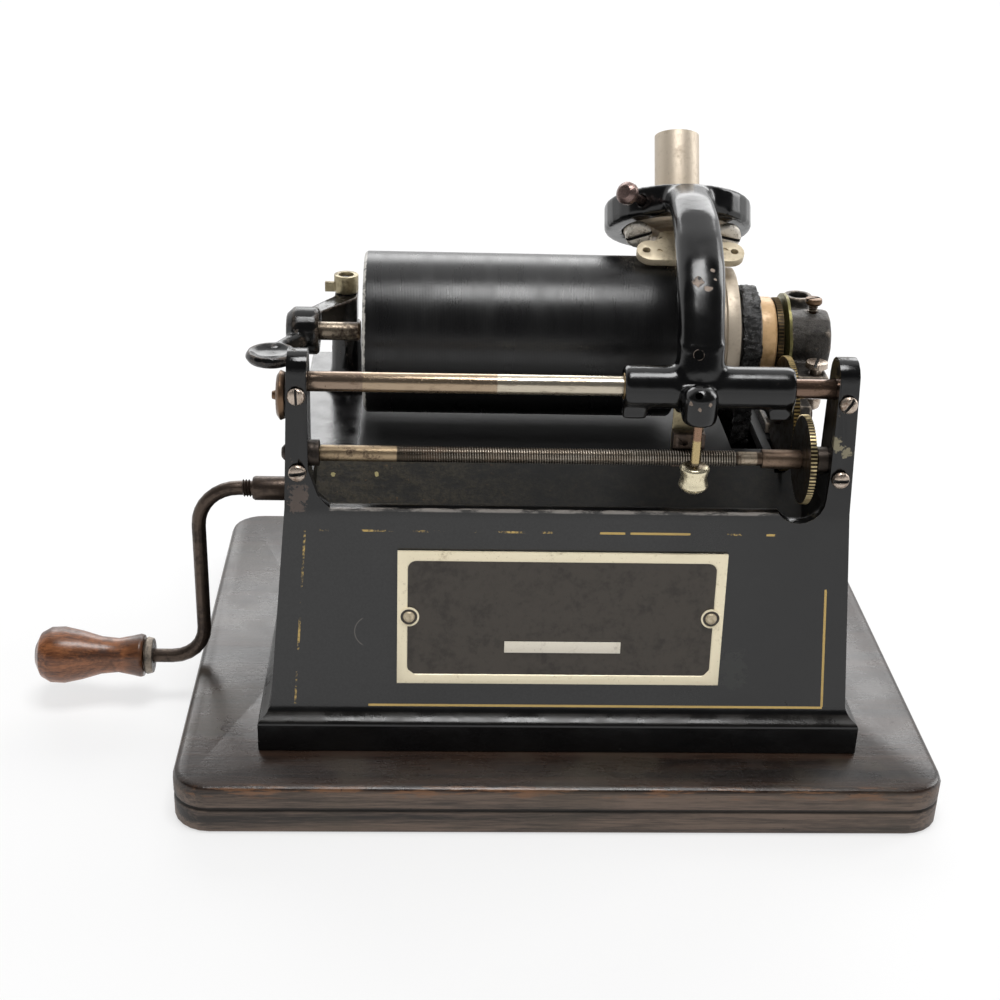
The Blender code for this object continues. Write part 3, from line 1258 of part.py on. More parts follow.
def make_gate(axis):
    """Swinging arm with its hub, thumb rest and centre pin."""
    half = GATE_HALF
    outline = [
        (GATE_X - half, GATE_Y + half), (GATE_X - half, GATE_Y - half),
        (HUB_LEFT, MANDREL_Y + HUB_RADIUS * 0.5), (HUB_LEFT, MANDREL_Y),
        (HUB_RIGHT, MANDREL_Y), (HUB_RIGHT, MANDREL_Y + HUB_RADIUS),
        (GATE_X + half, GATE_Y - half * 1.4), (GATE_X + half, GATE_Y + half),
    ]
    shape = bmesh.new()
    plate(shape, along_z(0, 0, 0), [outline], POST_TOP + FIT, GATE_TOP)
    gate = piece("gate_arm", shape, "japan_black", axis)
    shape = bmesh.new()
    turned(shape, along_x(0, MANDREL_Y, MANDREL_Z),
           [(HUB_LEFT - EDGE * 2, 0), (HUB_LEFT - EDGE * 2, HUB_RADIUS * 0.7),
            (HUB_LEFT + EDGE, HUB_RADIUS), (HUB_RIGHT - EDGE, HUB_RADIUS),
            (HUB_RIGHT, HUB_RADIUS - EDGE), (HUB_RIGHT, 0)], 20)
    combine(gate, shape, "UNION")
    shape = bmesh.new()
    loft(shape, thumb_stem_sections())
    combine(gate, shape, "UNION")
    shape = bmesh.new()
    t, r, h = THUMB_BOTTOM, THUMB_RADIUS, THUMB_HEIGHT
    turned(shape, along_z(THUMB_X, THUMB_Y, 0),
           [(t, 0), (t, r * 0.55), (t + h * 0.25, r * 0.88), (t + h * 0.6, r),
            (t + h, r * 0.86), (t + h - THUMB_DISH * 0.7, r * 0.55),
            (t + h - THUMB_DISH, 0)], 20)
    combine(gate, shape, "UNION")
    socket = HUB_RIGHT - GATE_PIN_SOCKET
    shape = bmesh.new()
    rod(shape, along_z(GATE_X, GATE_Y, 0), HINGE_PIN_RADIUS + FIT, POST_TOP - OVERRUN,
        GATE_TOP + OVERRUN, 16)
    rod(shape, along_x(0, MANDREL_Y, MANDREL_Z), GATE_PIN_RADIUS + FIT, socket,
        HUB_RIGHT + OVERRUN, 16)
    combine(gate, shape, "DIFFERENCE")
    shape = bmesh.new()
    near, tip = socket + FIT, SHAFT_LEFT - SHAFT_POINT - FIT
    turned(shape, along_x(0, MANDREL_Y, MANDREL_Z),
           [(near, 0), (near, GATE_PIN_RADIUS), (tip - EDGE, GATE_PIN_RADIUS),
            (tip, GATE_PIN_RADIUS * 0.8), (tip, 0)], 16)
    piece("gate_pin", shape, "steel", axis)


def thumb_stem_sections():
    """Sections of the stem from the gate's hub to the thumb rest."""
    middle = THUMB_BOTTOM + THUMB_HEIGHT / 2
    stem = [
        (HUB_LEFT + HUB_RADIUS * 0.5, MANDREL_Y - HUB_RADIUS * 0.2,
         MANDREL_Z - HUB_RADIUS * 0.25, HUB_RADIUS * 0.52),
        (HUB_LEFT + HUB_RADIUS * 0.15, MANDREL_Y - HUB_RADIUS * 1.1,
         MANDREL_Z - HUB_RADIUS * 0.15, HUB_RADIUS * 0.40),
        (THUMB_X, THUMB_Y + THUMB_RADIUS * 0.6, middle, THUMB_HEIGHT * 0.42),
    ]
    return [[(x + radius * u * 1.2, y, z + radius * v) for u, v in circle((0, 0), 1, 10)]
            for x, y, z, radius in stem]


def ring_place():
    """Place of the carriage ring, its Z up along the reproducer's axis."""
    return tilted(RING_X, RING_Y, RING_Z, RING_TILT)


def arm_sections():
    """Sections of the arm that climbs from the sleeve to the ring's front."""
    front = ring_place() @ Vector((0, -RING_OUTER * 0.93, RING_HEIGHT / 2))
    rise = front.z - ROD_Z
    run = front.y - ROD_Y
    # run and rise as shares of the whole, then half width and half
    # thickness as shares of the sleeve's radius
    path_shares = [
        (-0.01, -0.02, 1.20, 0.88), (0.00, 0.12, 1.13, 0.88), (0.04, 0.28, 1.10, 0.86),
        (0.12, 0.44, 1.12, 0.84), (0.22, 0.61, 1.16, 0.82), (0.33, 0.745, 1.18, 0.80),
        (0.47, 0.87, 1.18, 0.78), (0.62, 0.955, 1.16, 0.76), (0.80, 1.005, 1.14, 0.74),
        (1.00, 1.00, 1.17, 0.70),
    ]
    centres = [(ROD_Y + run * a, ROD_Z + rise * b) for a, b, _, _ in path_shares]
    last = len(centres) - 1
    sections = []
    for i, (y, z) in enumerate(centres):
        before, after = centres[max(i - 1, 0)], centres[min(i + 1, last)]
        ahead = Vector((after[0] - before[0], after[1] - before[1])).normalized()
        half = SLEEVE_RADIUS * path_shares[i][2]
        thick = SLEEVE_RADIUS * path_shares[i][3]
        x = ramp(i, 0, last, ARM_X, RING_X)
        ring = []
        for u, v in circle((0, 0), 1, 12):
            u = math.copysign(abs(u) ** 0.75, u)
            v = math.copysign(abs(v) ** 0.75, v)
            ring.append((x + half * u, y - ahead.y * thick * v, z + ahead.x * thick * v))
        sections.append(ring)
    return sections


def clamp_place():
    """Place on the ring's axis whose Z points out along the clamp screw."""
    turn = Matrix.Rotation(math.pi - CLAMP_ANGLE, 4, "Z") @ Matrix.Rotation(-math.pi / 2, 4, "X")
    return ring_place() @ Matrix.Translation((0, 0, RING_HEIGHT / 2)) @ turn


def make_carriage(axis):
    """Sleeve, arm, ring and lug, cast in one."""
    shape = bmesh.new()
    turned(shape, along_x(0, ROD_Y, ROD_Z),
           [(SLEEVE_LEFT, 0), (SLEEVE_LEFT, SLEEVE_RADIUS - EDGE),
            (SLEEVE_LEFT + EDGE, SLEEVE_RADIUS), (SLEEVE_RIGHT - EDGE, SLEEVE_RADIUS),
            (SLEEVE_RIGHT, SLEEVE_RADIUS - EDGE), (SLEEVE_RIGHT, 0)], 24)
    carriage = piece("carriage_arm", shape, "japan_black", axis)
    shape = bmesh.new()
    loft(shape, arm_sections())
    combine(carriage, shape, "UNION")
    shape = bmesh.new()
    turned(shape, ring_place(),
           [(0, RING_BORE), (0, RING_OUTER - EDGE), (EDGE, RING_OUTER),
            (RING_HEIGHT - EDGE, RING_OUTER), (RING_HEIGHT, RING_OUTER - EDGE),
            (RING_HEIGHT, RING_BORE)], 34)
    combine(carriage, shape, "UNION")
    shape = bmesh.new()
    for left in (SLEEVE_LEFT, SLEEVE_RIGHT - PAD_LENGTH):
        block(shape, (left + FIT, ROD_Y - PAD_HALF, ROD_Z - SLEEVE_RADIUS - PAD_DROP),
              (left + PAD_LENGTH - FIT, ROD_Y + PAD_HALF, ROD_Z - SLEEVE_RADIUS * 0.7))
    combine(carriage, shape, "UNION")
    slope = LUG_RADIUS * 0.5
    shape = bmesh.new()
    turned(shape, along_z(LUG_X, LUG_Y, 0),
           [(LUG_BOTTOM, 0), (LUG_BOTTOM, LUG_RADIUS - EDGE), (LUG_BOTTOM + EDGE, LUG_RADIUS),
            (LUG_TOP - slope, LUG_RADIUS), (LUG_TOP, LUG_RADIUS - slope), (LUG_TOP, 0)], 16)
    combine(carriage, shape, "UNION")
    shape = bmesh.new()
    block(shape, (LUG_X - LUG_RADIUS + FIT, LUG_Y + FIT, LUG_BOTTOM + EDGE),
          (LUG_X + LUG_RADIUS - FIT, ROD_Y - SLEEVE_RADIUS * 0.5, LUG_TOP - slope))
    combine(carriage, shape, "UNION")
    shape = bmesh.new()
    block(shape, (NUT_LEFT, ROD_Y, ROD_Z - SLEEVE_RADIUS * 1.4),
          (NUT_RIGHT, NUT_PAD_BACK, ROD_Z - SLEEVE_RADIUS * 0.3))
    combine(carriage, shape, "UNION")
    shape = bmesh.new()
    rod(shape, along_x(0, ROD_Y, ROD_Z), SLEEVE_BORE, SLEEVE_LEFT - OVERRUN,
        SLEEVE_RIGHT + OVERRUN, 20)
    rod(shape, along_z(LUG_X, LUG_Y, 0), KNOB_ROD_RADIUS + FIT, LUG_BOTTOM - OVERRUN,
        LUG_BOTTOM + KNOB_ROD_SEAT, 8)
    rod(shape, clamp_place(), CLAMP_SHANK + FIT, RING_BORE - OVERRUN, RING_OUTER + OVERRUN, 10)
    combine(carriage, shape, "DIFFERENCE")


def make_carriage_fittings(slide_axis, axis, knob_axis, clamp_axis):
    """Bush, half nut, lift knob and clamp screw."""
    shape = bmesh.new()
    inner, outer = ROD_RADIUS + FIT, SLEEVE_BORE - FIT
    near, far = SLEEVE_LEFT + EDGE / 2, SLEEVE_RIGHT - EDGE / 2
    turned(shape, along_x(0, ROD_Y, ROD_Z),
           [(near, inner), (near, outer), (far, outer), (far, inner)], 20)
    piece("carriage_bush", shape, "brass", slide_axis)
    shape = bmesh.new()
    near = NUT_PAD_BACK + FIT
    block(shape, (NUT_LEFT + FIT, near, SPRING_BOTTOM),
          (NUT_RIGHT - FIT, near + SPRING_THICKNESS, SPRING_TOP))
    piece("half_nut_spring", shape, "brass", axis)
    shape = bmesh.new()
    saddle = arc((ROD_Y, SCREW_Z), SCREW_RADIUS + FIT, math.radians(-75), math.radians(75), 8)
    outline = [(NUT_PAD_BACK, NUT_BOTTOM), (saddle[0][0], NUT_BOTTOM), *saddle,
               (saddle[-1][0], NUT_TOP), (NUT_PAD_BACK, NUT_TOP)]
    plate(shape, along_x(0, 0, 0), [outline], NUT_LEFT + FIT, NUT_RIGHT - FIT)
    piece("half_nut", shape, "steel", axis)
    # share of the height below the top, and share of the knob's radius
    spool_shares = [(0.0, 0.55), (0.04, 0.88), (0.12, 1.0), (0.30, 0.90), (0.45, 0.84),
                    (0.62, 0.92), (0.74, 1.0), (0.86, 0.86), (1.0, 0.45)]
    spool = [(KNOB_TOP - KNOB_HEIGHT * a, KNOB_RADIUS * b) for a, b in spool_shares]
    top = LUG_BOTTOM + KNOB_ROD_SEAT - FIT
    shape = bmesh.new()
    turned(shape, along_z(LUG_X, LUG_Y, 0),
           [(top, 0), (top, KNOB_ROD_RADIUS), (KNOB_TOP, KNOB_ROD_RADIUS), *spool,
            (KNOB_TOP - KNOB_HEIGHT, 0)], 20)
    piece("lift_knob", shape, "brass", knob_axis)
    shape = bmesh.new()
    near, far = CLAMP_HEAD_NEAR, CLAMP_HEAD_NEAR + CLAMP_HEAD_THICKNESS
    tip, round_edge = BODY_RADIUS + FIT * 2, CLAMP_HEAD_THICKNESS * 0.3
    turned(shape, clamp_place(),
           [(tip, 0), (tip, CLAMP_SHANK), (near, CLAMP_SHANK), (near, CLAMP_HEAD_RADIUS * 0.8),
            (near + round_edge, CLAMP_HEAD_RADIUS), (far - round_edge, CLAMP_HEAD_RADIUS),
            (far, CLAMP_HEAD_RADIUS * 0.6), (far, 0)], 16)
    piece("clamp_screw", shape, "steel", clamp_axis)


def head_places():
    """Places of the two large slotted heads, their Z into the sound box."""
    turn = Matrix.Rotation(RING_TILT - HEAD_TILT, 4, "X")
    out = HEAD_SETBACK - BODY_RADIUS
    return {name: ring_place() @ along_z(side * HEAD_SPREAD, out, -HEAD_DROP) @ turn
            for name, side in (("left", -1), ("right", 1))}


def head_boss_sections(name, place):
    """Sections of the boss that carries a head below the sound box."""
    side = -1 if name == "left" else 1
    start = ring_place().inverted() @ (place @ Vector((0, 0, HEAD_LENGTH + HEAD_BOSS / 2)))
    end = Vector((side * BODY_RADIUS * 0.45, -BODY_RADIUS * 0.2, -BODY_DROP * 0.3))
    sections = []
    for centre in (start, end):
        ring = [Vector((centre.x + HEAD_BOSS * u, centre.y - HEAD_BOSS * v / 2,
                        centre.z + HEAD_BOSS * v * 0.8)) for u, v in circle((0, 0), 1, 10)]
        sections.append([ring_place() @ point for point in ring])
    return sections


def make_reproducer(axis, weight_axis):
    """Sound box with its neck, two slotted heads and the floating weight."""
    drop, rise = -BODY_DROP, BODY_RISE
    boss = BODY_RADIUS * 0.66
    throat = NECK_TOP - NECK_DEPTH
    shape = bmesh.new()
    turned(shape, ring_place(),
           [(drop, 0), (drop, boss - EDGE), (drop + EDGE, boss), (drop / 2, boss),
            (drop / 2, BODY_RADIUS - EDGE), (drop / 2 + EDGE, BODY_RADIUS), (rise, BODY_RADIUS),
            (rise + EDGE, BODY_RADIUS * 0.92), (rise + EDGE, NECK_RADIUS * 1.15),
            (rise + EDGE * 3, NECK_RADIUS), (NECK_TOP, NECK_RADIUS), (NECK_TOP, NECK_BORE),
            (throat, NECK_BORE), (throat, 0)], 30)
    body = piece("reproducer_body", shape, "nickel", axis)
    shape = bmesh.new()
    for name, place in head_places().items():
        loft(shape, head_boss_sections(name, place))
    combine(body, shape, "UNION")
    shape = bmesh.new()
    block(shape, (-HINGE_LUG, WEIGHT_BACK - HINGE_LUG, FIT - WEIGHT_DROP),
          (HINGE_LUG, WEIGHT_BACK, 0))
    shape.transform(ring_place())
    combine(body, shape, "UNION")
    for name, place in head_places().items():
        shape = bmesh.new()
        turned(shape, place,
               [(0, 0), (0, HEAD_RADIUS - EDGE), (EDGE, HEAD_RADIUS),
                (HEAD_LENGTH - FIT, HEAD_RADIUS), (HEAD_LENGTH - FIT, 0)], 20)
        piece(f"reproducer_screw_{name}", shape, "nickel", axis)
    shape = bmesh.new()
    block(shape, (-WEIGHT_HALF, -WEIGHT_FRONT, -WEIGHT_THICKNESS - WEIGHT_DROP),
          (WEIGHT_HALF, WEIGHT_BACK, -WEIGHT_DROP))
    shape.transform(ring_place())
    weight = piece("reproducer_weight", shape, "nickel", weight_axis)
    shape = bmesh.new()
    plate(shape, tail_place(), tail_outlines(), 0, TAIL_THICKNESS)
    combine(weight, shape, "UNION")
    shape = bmesh.new()
    top = -WEIGHT_DROP - WEIGHT_THICKNESS / 2
    tip = -WEIGHT_DROP - WEIGHT_THICKNESS - STYLUS_LENGTH
    turned(shape, ring_place() @ along_z(0, -STYLUS_FRONT, 0),
           [(tip, 0), (tip, STYLUS_RADIUS * 0.4), (tip + STYLUS_RADIUS, STYLUS_RADIUS),
            (top, STYLUS_RADIUS), (top, 0)], 8)
    combine(weight, shape, "UNION")


def tail_outlines():
    """Outline of the weight's tail from its front edge, with a hole in each ear."""
    reach, ear = TAIL_EAR_REACH, TAIL_EAR_RADIUS
    right_side = [*arc((reach, ear), ear, math.radians(-90), math.radians(110), 10),
                  (TAIL_NECK, TAIL_NECK_BACK), (WEIGHT_HALF, TAIL_LENGTH)]
    outline = right_side + [(-x, y) for x, y in reversed(right_side)]
    return [outline, *(circle((side * TAIL_HOLE_REACH, ear), TAIL_HOLE, 10) for side in (-1, 1))]


def tail_place():
    """Place of the middle of the tail's lower front edge, its Y up along the tail."""
    turn = Matrix.Rotation(RING_TILT + TAIL_TILT, 4, "X")
    return ring_place() @ along_z(TAIL_SHIFT, -WEIGHT_FRONT - TAIL_OUT, -TAIL_DROP) @ turn


def weight_place():
    """Place of the weight's hinge under the back of the sound box."""
    return ring_place() @ along_z(0, WEIGHT_BACK, -WEIGHT_DROP)


def crank_path():
    """Centre line of the crank's rod, from its sleeve to the handle's end."""
    end_z = CRANK_Z - CRANK_THROW
    upper = (CRANK_ARM_X + CRANK_UPPER_BEND, CRANK_Z - CRANK_UPPER_BEND)
    lower = (CRANK_ARM_X - CRANK_LOWER_BEND, end_z + CRANK_LOWER_BEND)
    points = [(CRANK_SLEEVE_LEFT + OVERRUN, CRANK_Z)]
    points += arc(upper, CRANK_UPPER_BEND, math.radians(90), math.radians(180), 8)
    points += arc(lower, CRANK_LOWER_BEND, 0, math.radians(-90), 6)
    points.append((HANDLE_RIGHT - HANDLE_BORE_DEPTH + FIT * 3, end_z))
    return [(x, CRANK_Y, z) for x, z in points]


def make_crank(axis):
    """Crank with its winding pinion, and its bush in the wall."""
    radius = CRANK_SHAFT_RADIUS
    left, right = CRANK_SLEEVE_LEFT, CRANK_SLEEVE_RIGHT
    shape = bmesh.new()
    turned(shape, along_x(0, CRANK_Y, CRANK_Z),
           [(left, 0), (left, CRANK_SLEEVE_RADIUS - EDGE / 2),
            (left + EDGE, CRANK_SLEEVE_RADIUS), (right, CRANK_SLEEVE_RADIUS), (right, radius),
            (CRANK_SHAFT_RIGHT, radius), (CRANK_SHAFT_RIGHT, 0)], 16)
    crank = piece("crank", shape, "steel", axis)
    shape = bmesh.new()
    swept(shape, crank_path(), CRANK_ROD_RADIUS, 12)
    combine(crank, shape, "UNION")
    shape = bmesh.new()
    plate(shape, along_x(winding_left(), CRANK_Y, CRANK_Z),
          [gear_outline(CRANK_TEETH, WINDING_MODULE)], 0, PLATE_THICKNESS)
    combine(crank, shape, "UNION")
    wall = -body_half_width(CRANK_Z)
    seat = -body_half_width(CRANK_Z - CRANK_BUSH_FLANGE) - FIT
    inner, bore = wall + WALL, radius + FIT
    shape = bmesh.new()
    turned(shape, along_x(0, CRANK_Y, CRANK_Z),
           [(seat - EDGE, bore), (seat - EDGE, CRANK_BUSH_FLANGE), (seat, CRANK_BUSH_FLANGE),
            (seat, CRANK_BUSH_RADIUS), (inner, CRANK_BUSH_RADIUS), (inner, bore)], 20)
    piece("crank_bush", shape, "worn_iron")


def make_handle(axis):
    """Wooden handle and its ferrule, free to turn on the crank's pin."""
    z = CRANK_Z - CRANK_THROW
    length = HANDLE_RIGHT - HANDLE_LEFT
    # share of the length from the ferrule, and share of the largest radius
    handle_shares = [(0.0, 0.72), (0.03, 0.76), (0.10, 0.70), (0.24, 0.60), (0.40, 0.66),
                     (0.58, 0.86), (0.74, 0.99), (0.86, 0.97), (0.95, 0.78), (1.0, 0.40)]
    belly = [(HANDLE_RIGHT - length * a, HANDLE_RADIUS * b) for a, b in handle_shares]
    inner = HANDLE_RIGHT - HANDLE_BORE_DEPTH
    shape = bmesh.new()
    turned(shape, along_x(0, CRANK_Y, z),
           [(inner, 0), (inner, HANDLE_BORE), (HANDLE_RIGHT, HANDLE_BORE), *belly,
            (HANDLE_LEFT, 0)], 22)
    piece("crank_handle", shape, "stained_beech", axis)
    near, far = HANDLE_RIGHT + FIT, HANDLE_RIGHT + FIT + FERRULE_THICKNESS
    shape = bmesh.new()
    turned(shape, along_x(0, CRANK_Y, z),
           [(near, HANDLE_BORE), (near, FERRULE_RADIUS * 0.9), (near + EDGE, FERRULE_RADIUS),
            (far, FERRULE_RADIUS * 0.92), (far, HANDLE_BORE)], 20)
    piece("handle_ferrule", shape, "worn_iron", axis)


def winding_left():
    """X of the winding gears' left face."""
    return PLATE_LEFT + PLATE_THICKNESS * 2.4


def pulley_shaft_centre():
    """Y and Z of the shaft that drives the belt."""
    y, z = second_centre()
    reach = (SECOND_TEETH + SHAFT_PINION_TEETH) * MOTOR_MODULE / 2 + TRAIN_SLACK
    return PULLEY_SHAFT_Y, z + math.sqrt(reach ** 2 - (PULLEY_SHAFT_Y - y) ** 2)


def governor_centre():
    """Y and Z of the governor, level with the shaft that drives it."""
    y, z = pulley_shaft_centre()
    return y + (SHAFT_TEETH + GOVERNOR_TEETH) * MOTOR_MODULE / 2 + TRAIN_SLACK, z


def second_centre():
    """Y and Z of the second wheel, level with the barrel."""
    reach = (GREAT_TEETH + SECOND_PINION_TEETH) * MOTOR_MODULE / 2 + TRAIN_SLACK
    return BARREL_Y + reach, BARREL_Z


def brake_pivot():
    """Y and Z of the brake lever's pivot pin."""
    y, z = governor_centre()
    return y + GOVERNOR_DISC_RADIUS * 1.9, z + GOVERNOR_DISC_RADIUS * 1.3


def pawl_pivot():
    """Y and Z of the ratchet pawl's pivot pin."""
    return BARREL_Y - RATCHET_RADIUS * 1.8, BARREL_Z + RATCHET_RADIUS * 1.7


def motor_plate_outline():
    """Outline of a motor plate, clear of the trough."""
    deck_under = DECK_TOP - DECK_THICKNESS - FIT
    trough_under = TROUGH_FLOOR - DECK_THICKNESS * 2
    return [(PLATE_FRONT, PLATE_FOOT), (PLATE_BACK, PLATE_FOOT), (PLATE_BACK, deck_under),
            (DECK_FRONT + DECK_THICKNESS * 2, deck_under), (TROUGH_BACK, trough_under),
            (PLATE_FRONT, trough_under)]


def make_motor_frame():
    """Two plates riveted to three pillars and hung from the deck."""
    shafts = [(CRANK_Y, CRANK_Z, CRANK_SHAFT_RADIUS), (BARREL_Y, BARREL_Z, ARBOR_RADIUS),
              (*second_centre(), SMALL_ARBOR_RADIUS),
              (*pulley_shaft_centre(), SMALL_ARBOR_RADIUS),
              (*governor_centre(), SMALL_ARBOR_RADIUS)]
    left, right = PLATE_LEFT, PLATE_RIGHT + PLATE_THICKNESS
    bite = PLATE_THICKNESS / 2
    inset = PILLAR_RADIUS * 1.8
    shape = bmesh.new()
    for y, z in [(PLATE_FRONT + inset, PLATE_FOOT + inset),
                 (PLATE_BACK - inset, PLATE_FOOT + inset),
                 (PLATE_BACK - inset, BARREL_Z + inset)]:
        rod(shape, along_x(0, y, z), PILLAR_RADIUS, left + bite, right - bite, 10)
    for (y, z), near, far in [(brake_pivot(), brake_left() - FIT, right - bite),
                              (pawl_pivot(), left + bite, ratchet_left() + PLATE_THICKNESS)]:
        rod(shape, along_x(0, y, z), PIVOT_RADIUS, near, far, 10)
    frame = piece("motor_frame", shape, "steel")
    for near, bores in [(PLATE_LEFT, shafts), (PLATE_RIGHT, shafts[1:])]:
        holes = [circle((y, z), radius + FIT, 12) for y, z, radius in bores]
        shape = bmesh.new()
        plate(shape, along_x(near, 0, 0), [motor_plate_outline(), *holes], 0, PLATE_THICKNESS)
        combine(frame, shape, "UNION")
    top = DECK_TOP - DECK_THICKNESS - FIT
    half = FLANGE_REACH / 2
    shape = bmesh.new()
    block(shape, (left, FLANGE_Y - half, top - PLATE_THICKNESS),
          (left + FLANGE_REACH + PLATE_THICKNESS, FLANGE_Y + half, top))
    block(shape, (right - FLANGE_REACH - PLATE_THICKNESS, FLANGE_Y - half,
                  top - PLATE_THICKNESS), (right, FLANGE_Y + half, top))
    combine(frame, shape, "UNION")
    shape = bmesh.new()
    for x, y in motor_screw_places().values():
        rod(shape, along_z(x, y, 0), LUG_SCREW_RADIUS + FIT, top - PLATE_THICKNESS - OVERRUN,
            top + OVERRUN, 8)
    combine(frame, shape, "DIFFERENCE")


def ratchet_left():
    """X of the ratchet wheel's left face."""
    return PLATE_LEFT + PLATE_THICKNESS + FIT * 2


def make_winding(axis, pawl_axis):
    """Winding arbor with its gear and ratchet wheel, and the pawl."""
    centre = (BARREL_Y, BARREL_Z)
    turn = mesh_turn(WINDING_TEETH, centre, (CRANK_Y, CRANK_Z), CRANK_TEETH, 0)
    ratchet_module = RATCHET_RADIUS * 2 / RATCHET_TEETH
    shape = bmesh.new()
    rod(shape, along_x(0, *centre), ARBOR_RADIUS, PLATE_LEFT - EDGE * 2,
        PLATE_RIGHT + PLATE_THICKNESS + EDGE * 2, 12)
    arbor = piece("winding_arbor", shape, "steel", axis)
    shape = bmesh.new()
    outline = turned_outline(gear_outline(WINDING_TEETH, WINDING_MODULE), turn)
    plate(shape, along_x(winding_left(), *centre), [outline], 0, PLATE_THICKNESS)
    plate(shape, along_x(ratchet_left(), *centre),
          [gear_outline(RATCHET_TEETH, ratchet_module)], 0, PLATE_THICKNESS)
    combine(arbor, shape, "UNION")
    pivot_y, pivot_z = pawl_pivot()
    boss, tip = PIVOT_RADIUS * 2.2, PIVOT_RADIUS * 0.6
    reach = RATCHET_RADIUS + ratchet_module + FIT + tip
    outline = arc((pivot_y, pivot_z), boss, 0, math.radians(200), 8)
    outline += [(BARREL_Y - reach - tip, BARREL_Z), (BARREL_Y - reach + tip, BARREL_Z)]
    shape = bmesh.new()
    plate(shape, along_x(ratchet_left(), 0, 0),
          [outline, circle((pivot_y, pivot_z), PIVOT_RADIUS + FIT, 8)], 0, PLATE_THICKNESS)
    piece("ratchet_pawl", shape, "steel", pawl_axis)


def make_barrel(axis):
    """Spring barrel with its great wheel and the mainspring."""
    bore = ARBOR_RADIUS + FIT
    inner = BARREL_RADIUS - BARREL_WALL
    floor = BARREL_LEFT + BARREL_WALL
    shape = bmesh.new()
    turned(shape, along_x(0, BARREL_Y, BARREL_Z),
           [(BARREL_LEFT, bore), (BARREL_LEFT, BARREL_RADIUS), (BARREL_RIGHT, BARREL_RADIUS),
            (BARREL_RIGHT, inner), (floor, inner), (floor, bore)], 32)
    piece("spring_barrel", shape, "brass", axis)
    shape = bmesh.new()
    plate(shape, along_x(BARREL_RIGHT + FIT, BARREL_Y, BARREL_Z),
          [gear_outline(GREAT_TEETH, MOTOR_MODULE), circle((0, 0), bore, 12)],
          0, PLATE_THICKNESS)
    piece("great_wheel", shape, "brass", axis)
    start, end = bore + SPRING_STRIP, inner - SPRING_STRIP - FIT
    steps = SPRING_TURNS * 14
    outer_line, inner_line = [], []
    for i in range(steps + 1):
        turn = 2 * math.pi * SPRING_TURNS * i / steps
        radius = ramp(i, 0, steps, start, end)
        outer_line.append(((radius + SPRING_STRIP / 2) * math.cos(turn),
                           (radius + SPRING_STRIP / 2) * math.sin(turn)))
        inner_line.append(((radius - SPRING_STRIP / 2) * math.cos(turn),
                           (radius - SPRING_STRIP / 2) * math.sin(turn)))
    shape = bmesh.new()
    place = along_x(0, BARREL_Y, BARREL_Z)
    near, far = floor + FIT, BARREL_RIGHT - FIT
    loft(shape, [[place @ Vector((*one, near)), place @ Vector((*other, near)),
                  place @ Vector((*other, far)), place @ Vector((*one, far))]
                 for one, other in zip(outer_line, inner_line)])
    piece("mainspring", shape, "steel", axis)


def make_wheels(second_axis, shaft_axis):
    """Second wheel, and the belt shaft with its pinion, wheel and pulley."""
    second, shaft = second_centre(), pulley_shaft_centre()
    left, right = PLATE_LEFT - EDGE, PLATE_RIGHT + PLATE_THICKNESS + EDGE
    great_left = BARREL_RIGHT + FIT
    turn = mesh_turn(SECOND_PINION_TEETH, second, (BARREL_Y, BARREL_Z), GREAT_TEETH, 0)
    shape = bmesh.new()
    rod(shape, along_x(0, *second), SMALL_ARBOR_RADIUS, left, right, 12)
    wheel = piece("second_wheel", shape, "brass", second_axis)
    shape = bmesh.new()
    outline = turned_outline(gear_outline(SECOND_PINION_TEETH, MOTOR_MODULE), turn)
    plate(shape, along_x(0, *second), [outline], great_left, great_left + PLATE_THICKNESS)
    outline = turned_outline(gear_outline(SECOND_TEETH, MOTOR_MODULE), turn)
    plate(shape, along_x(second_gear_left(), *second), [outline], 0, PLATE_THICKNESS)
    combine(wheel, shape, "UNION")
    shaft_turn = mesh_turn(SHAFT_PINION_TEETH, shaft, second, SECOND_TEETH, turn)
    shape = bmesh.new()
    rod(shape, along_x(0, *shaft), SMALL_ARBOR_RADIUS, left, BELT_RIGHT + EDGE * 2, 12)
    belt_shaft = piece("belt_shaft", shape, "brass", shaft_axis)
    shape = bmesh.new()
    outline = turned_outline(gear_outline(SHAFT_PINION_TEETH, MOTOR_MODULE), shaft_turn)
    plate(shape, along_x(second_gear_left(), *shaft), [outline], 0, PLATE_THICKNESS)
    outline = turned_outline(gear_outline(SHAFT_TEETH, MOTOR_MODULE), shaft_turn)
    plate(shape, along_x(shaft_gear_left(), *shaft), [outline], 0, PLATE_THICKNESS)
    combine(belt_shaft, shape, "UNION")
    seat, rim = MOTOR_PULLEY_RADIUS, MOTOR_PULLEY_RADIUS + BELT_THICKNESS
    near, far = BELT_LEFT - FIT, BELT_RIGHT + FIT
    shape = bmesh.new()
    turned(shape, along_x(0, *shaft),
           [(near - EDGE, 0), (near - EDGE, rim), (near, rim), (near, seat), (far, seat),
            (far, rim), (far + EDGE, rim), (far + EDGE, 0)], 24)
    combine(belt_shaft, shape, "UNION")
    return shaft_turn


def governor_weight_outline(near, far, seat, ball):
    """Side view of one governor weight on its flat spring."""
    middle = (near + far) / 2
    strip = seat + SPRING_STRIP
    low = seat - EDGE
    return [(near, low), (near + ball / 2, low), (near + ball, seat),
            (middle - ball, seat + ball), (middle + ball, seat + ball),
            (far - ball, seat), (far - ball / 2, low), (far, low), (far, strip),
            (far - ball, strip), (middle + ball, seat + ball * 2),
            (middle - ball, seat + ball * 2), (near + ball, strip), (near, strip)]


def second_gear_left():
    """X of the second wheel's large gear."""
    return shaft_gear_left() - PLATE_THICKNESS * 5


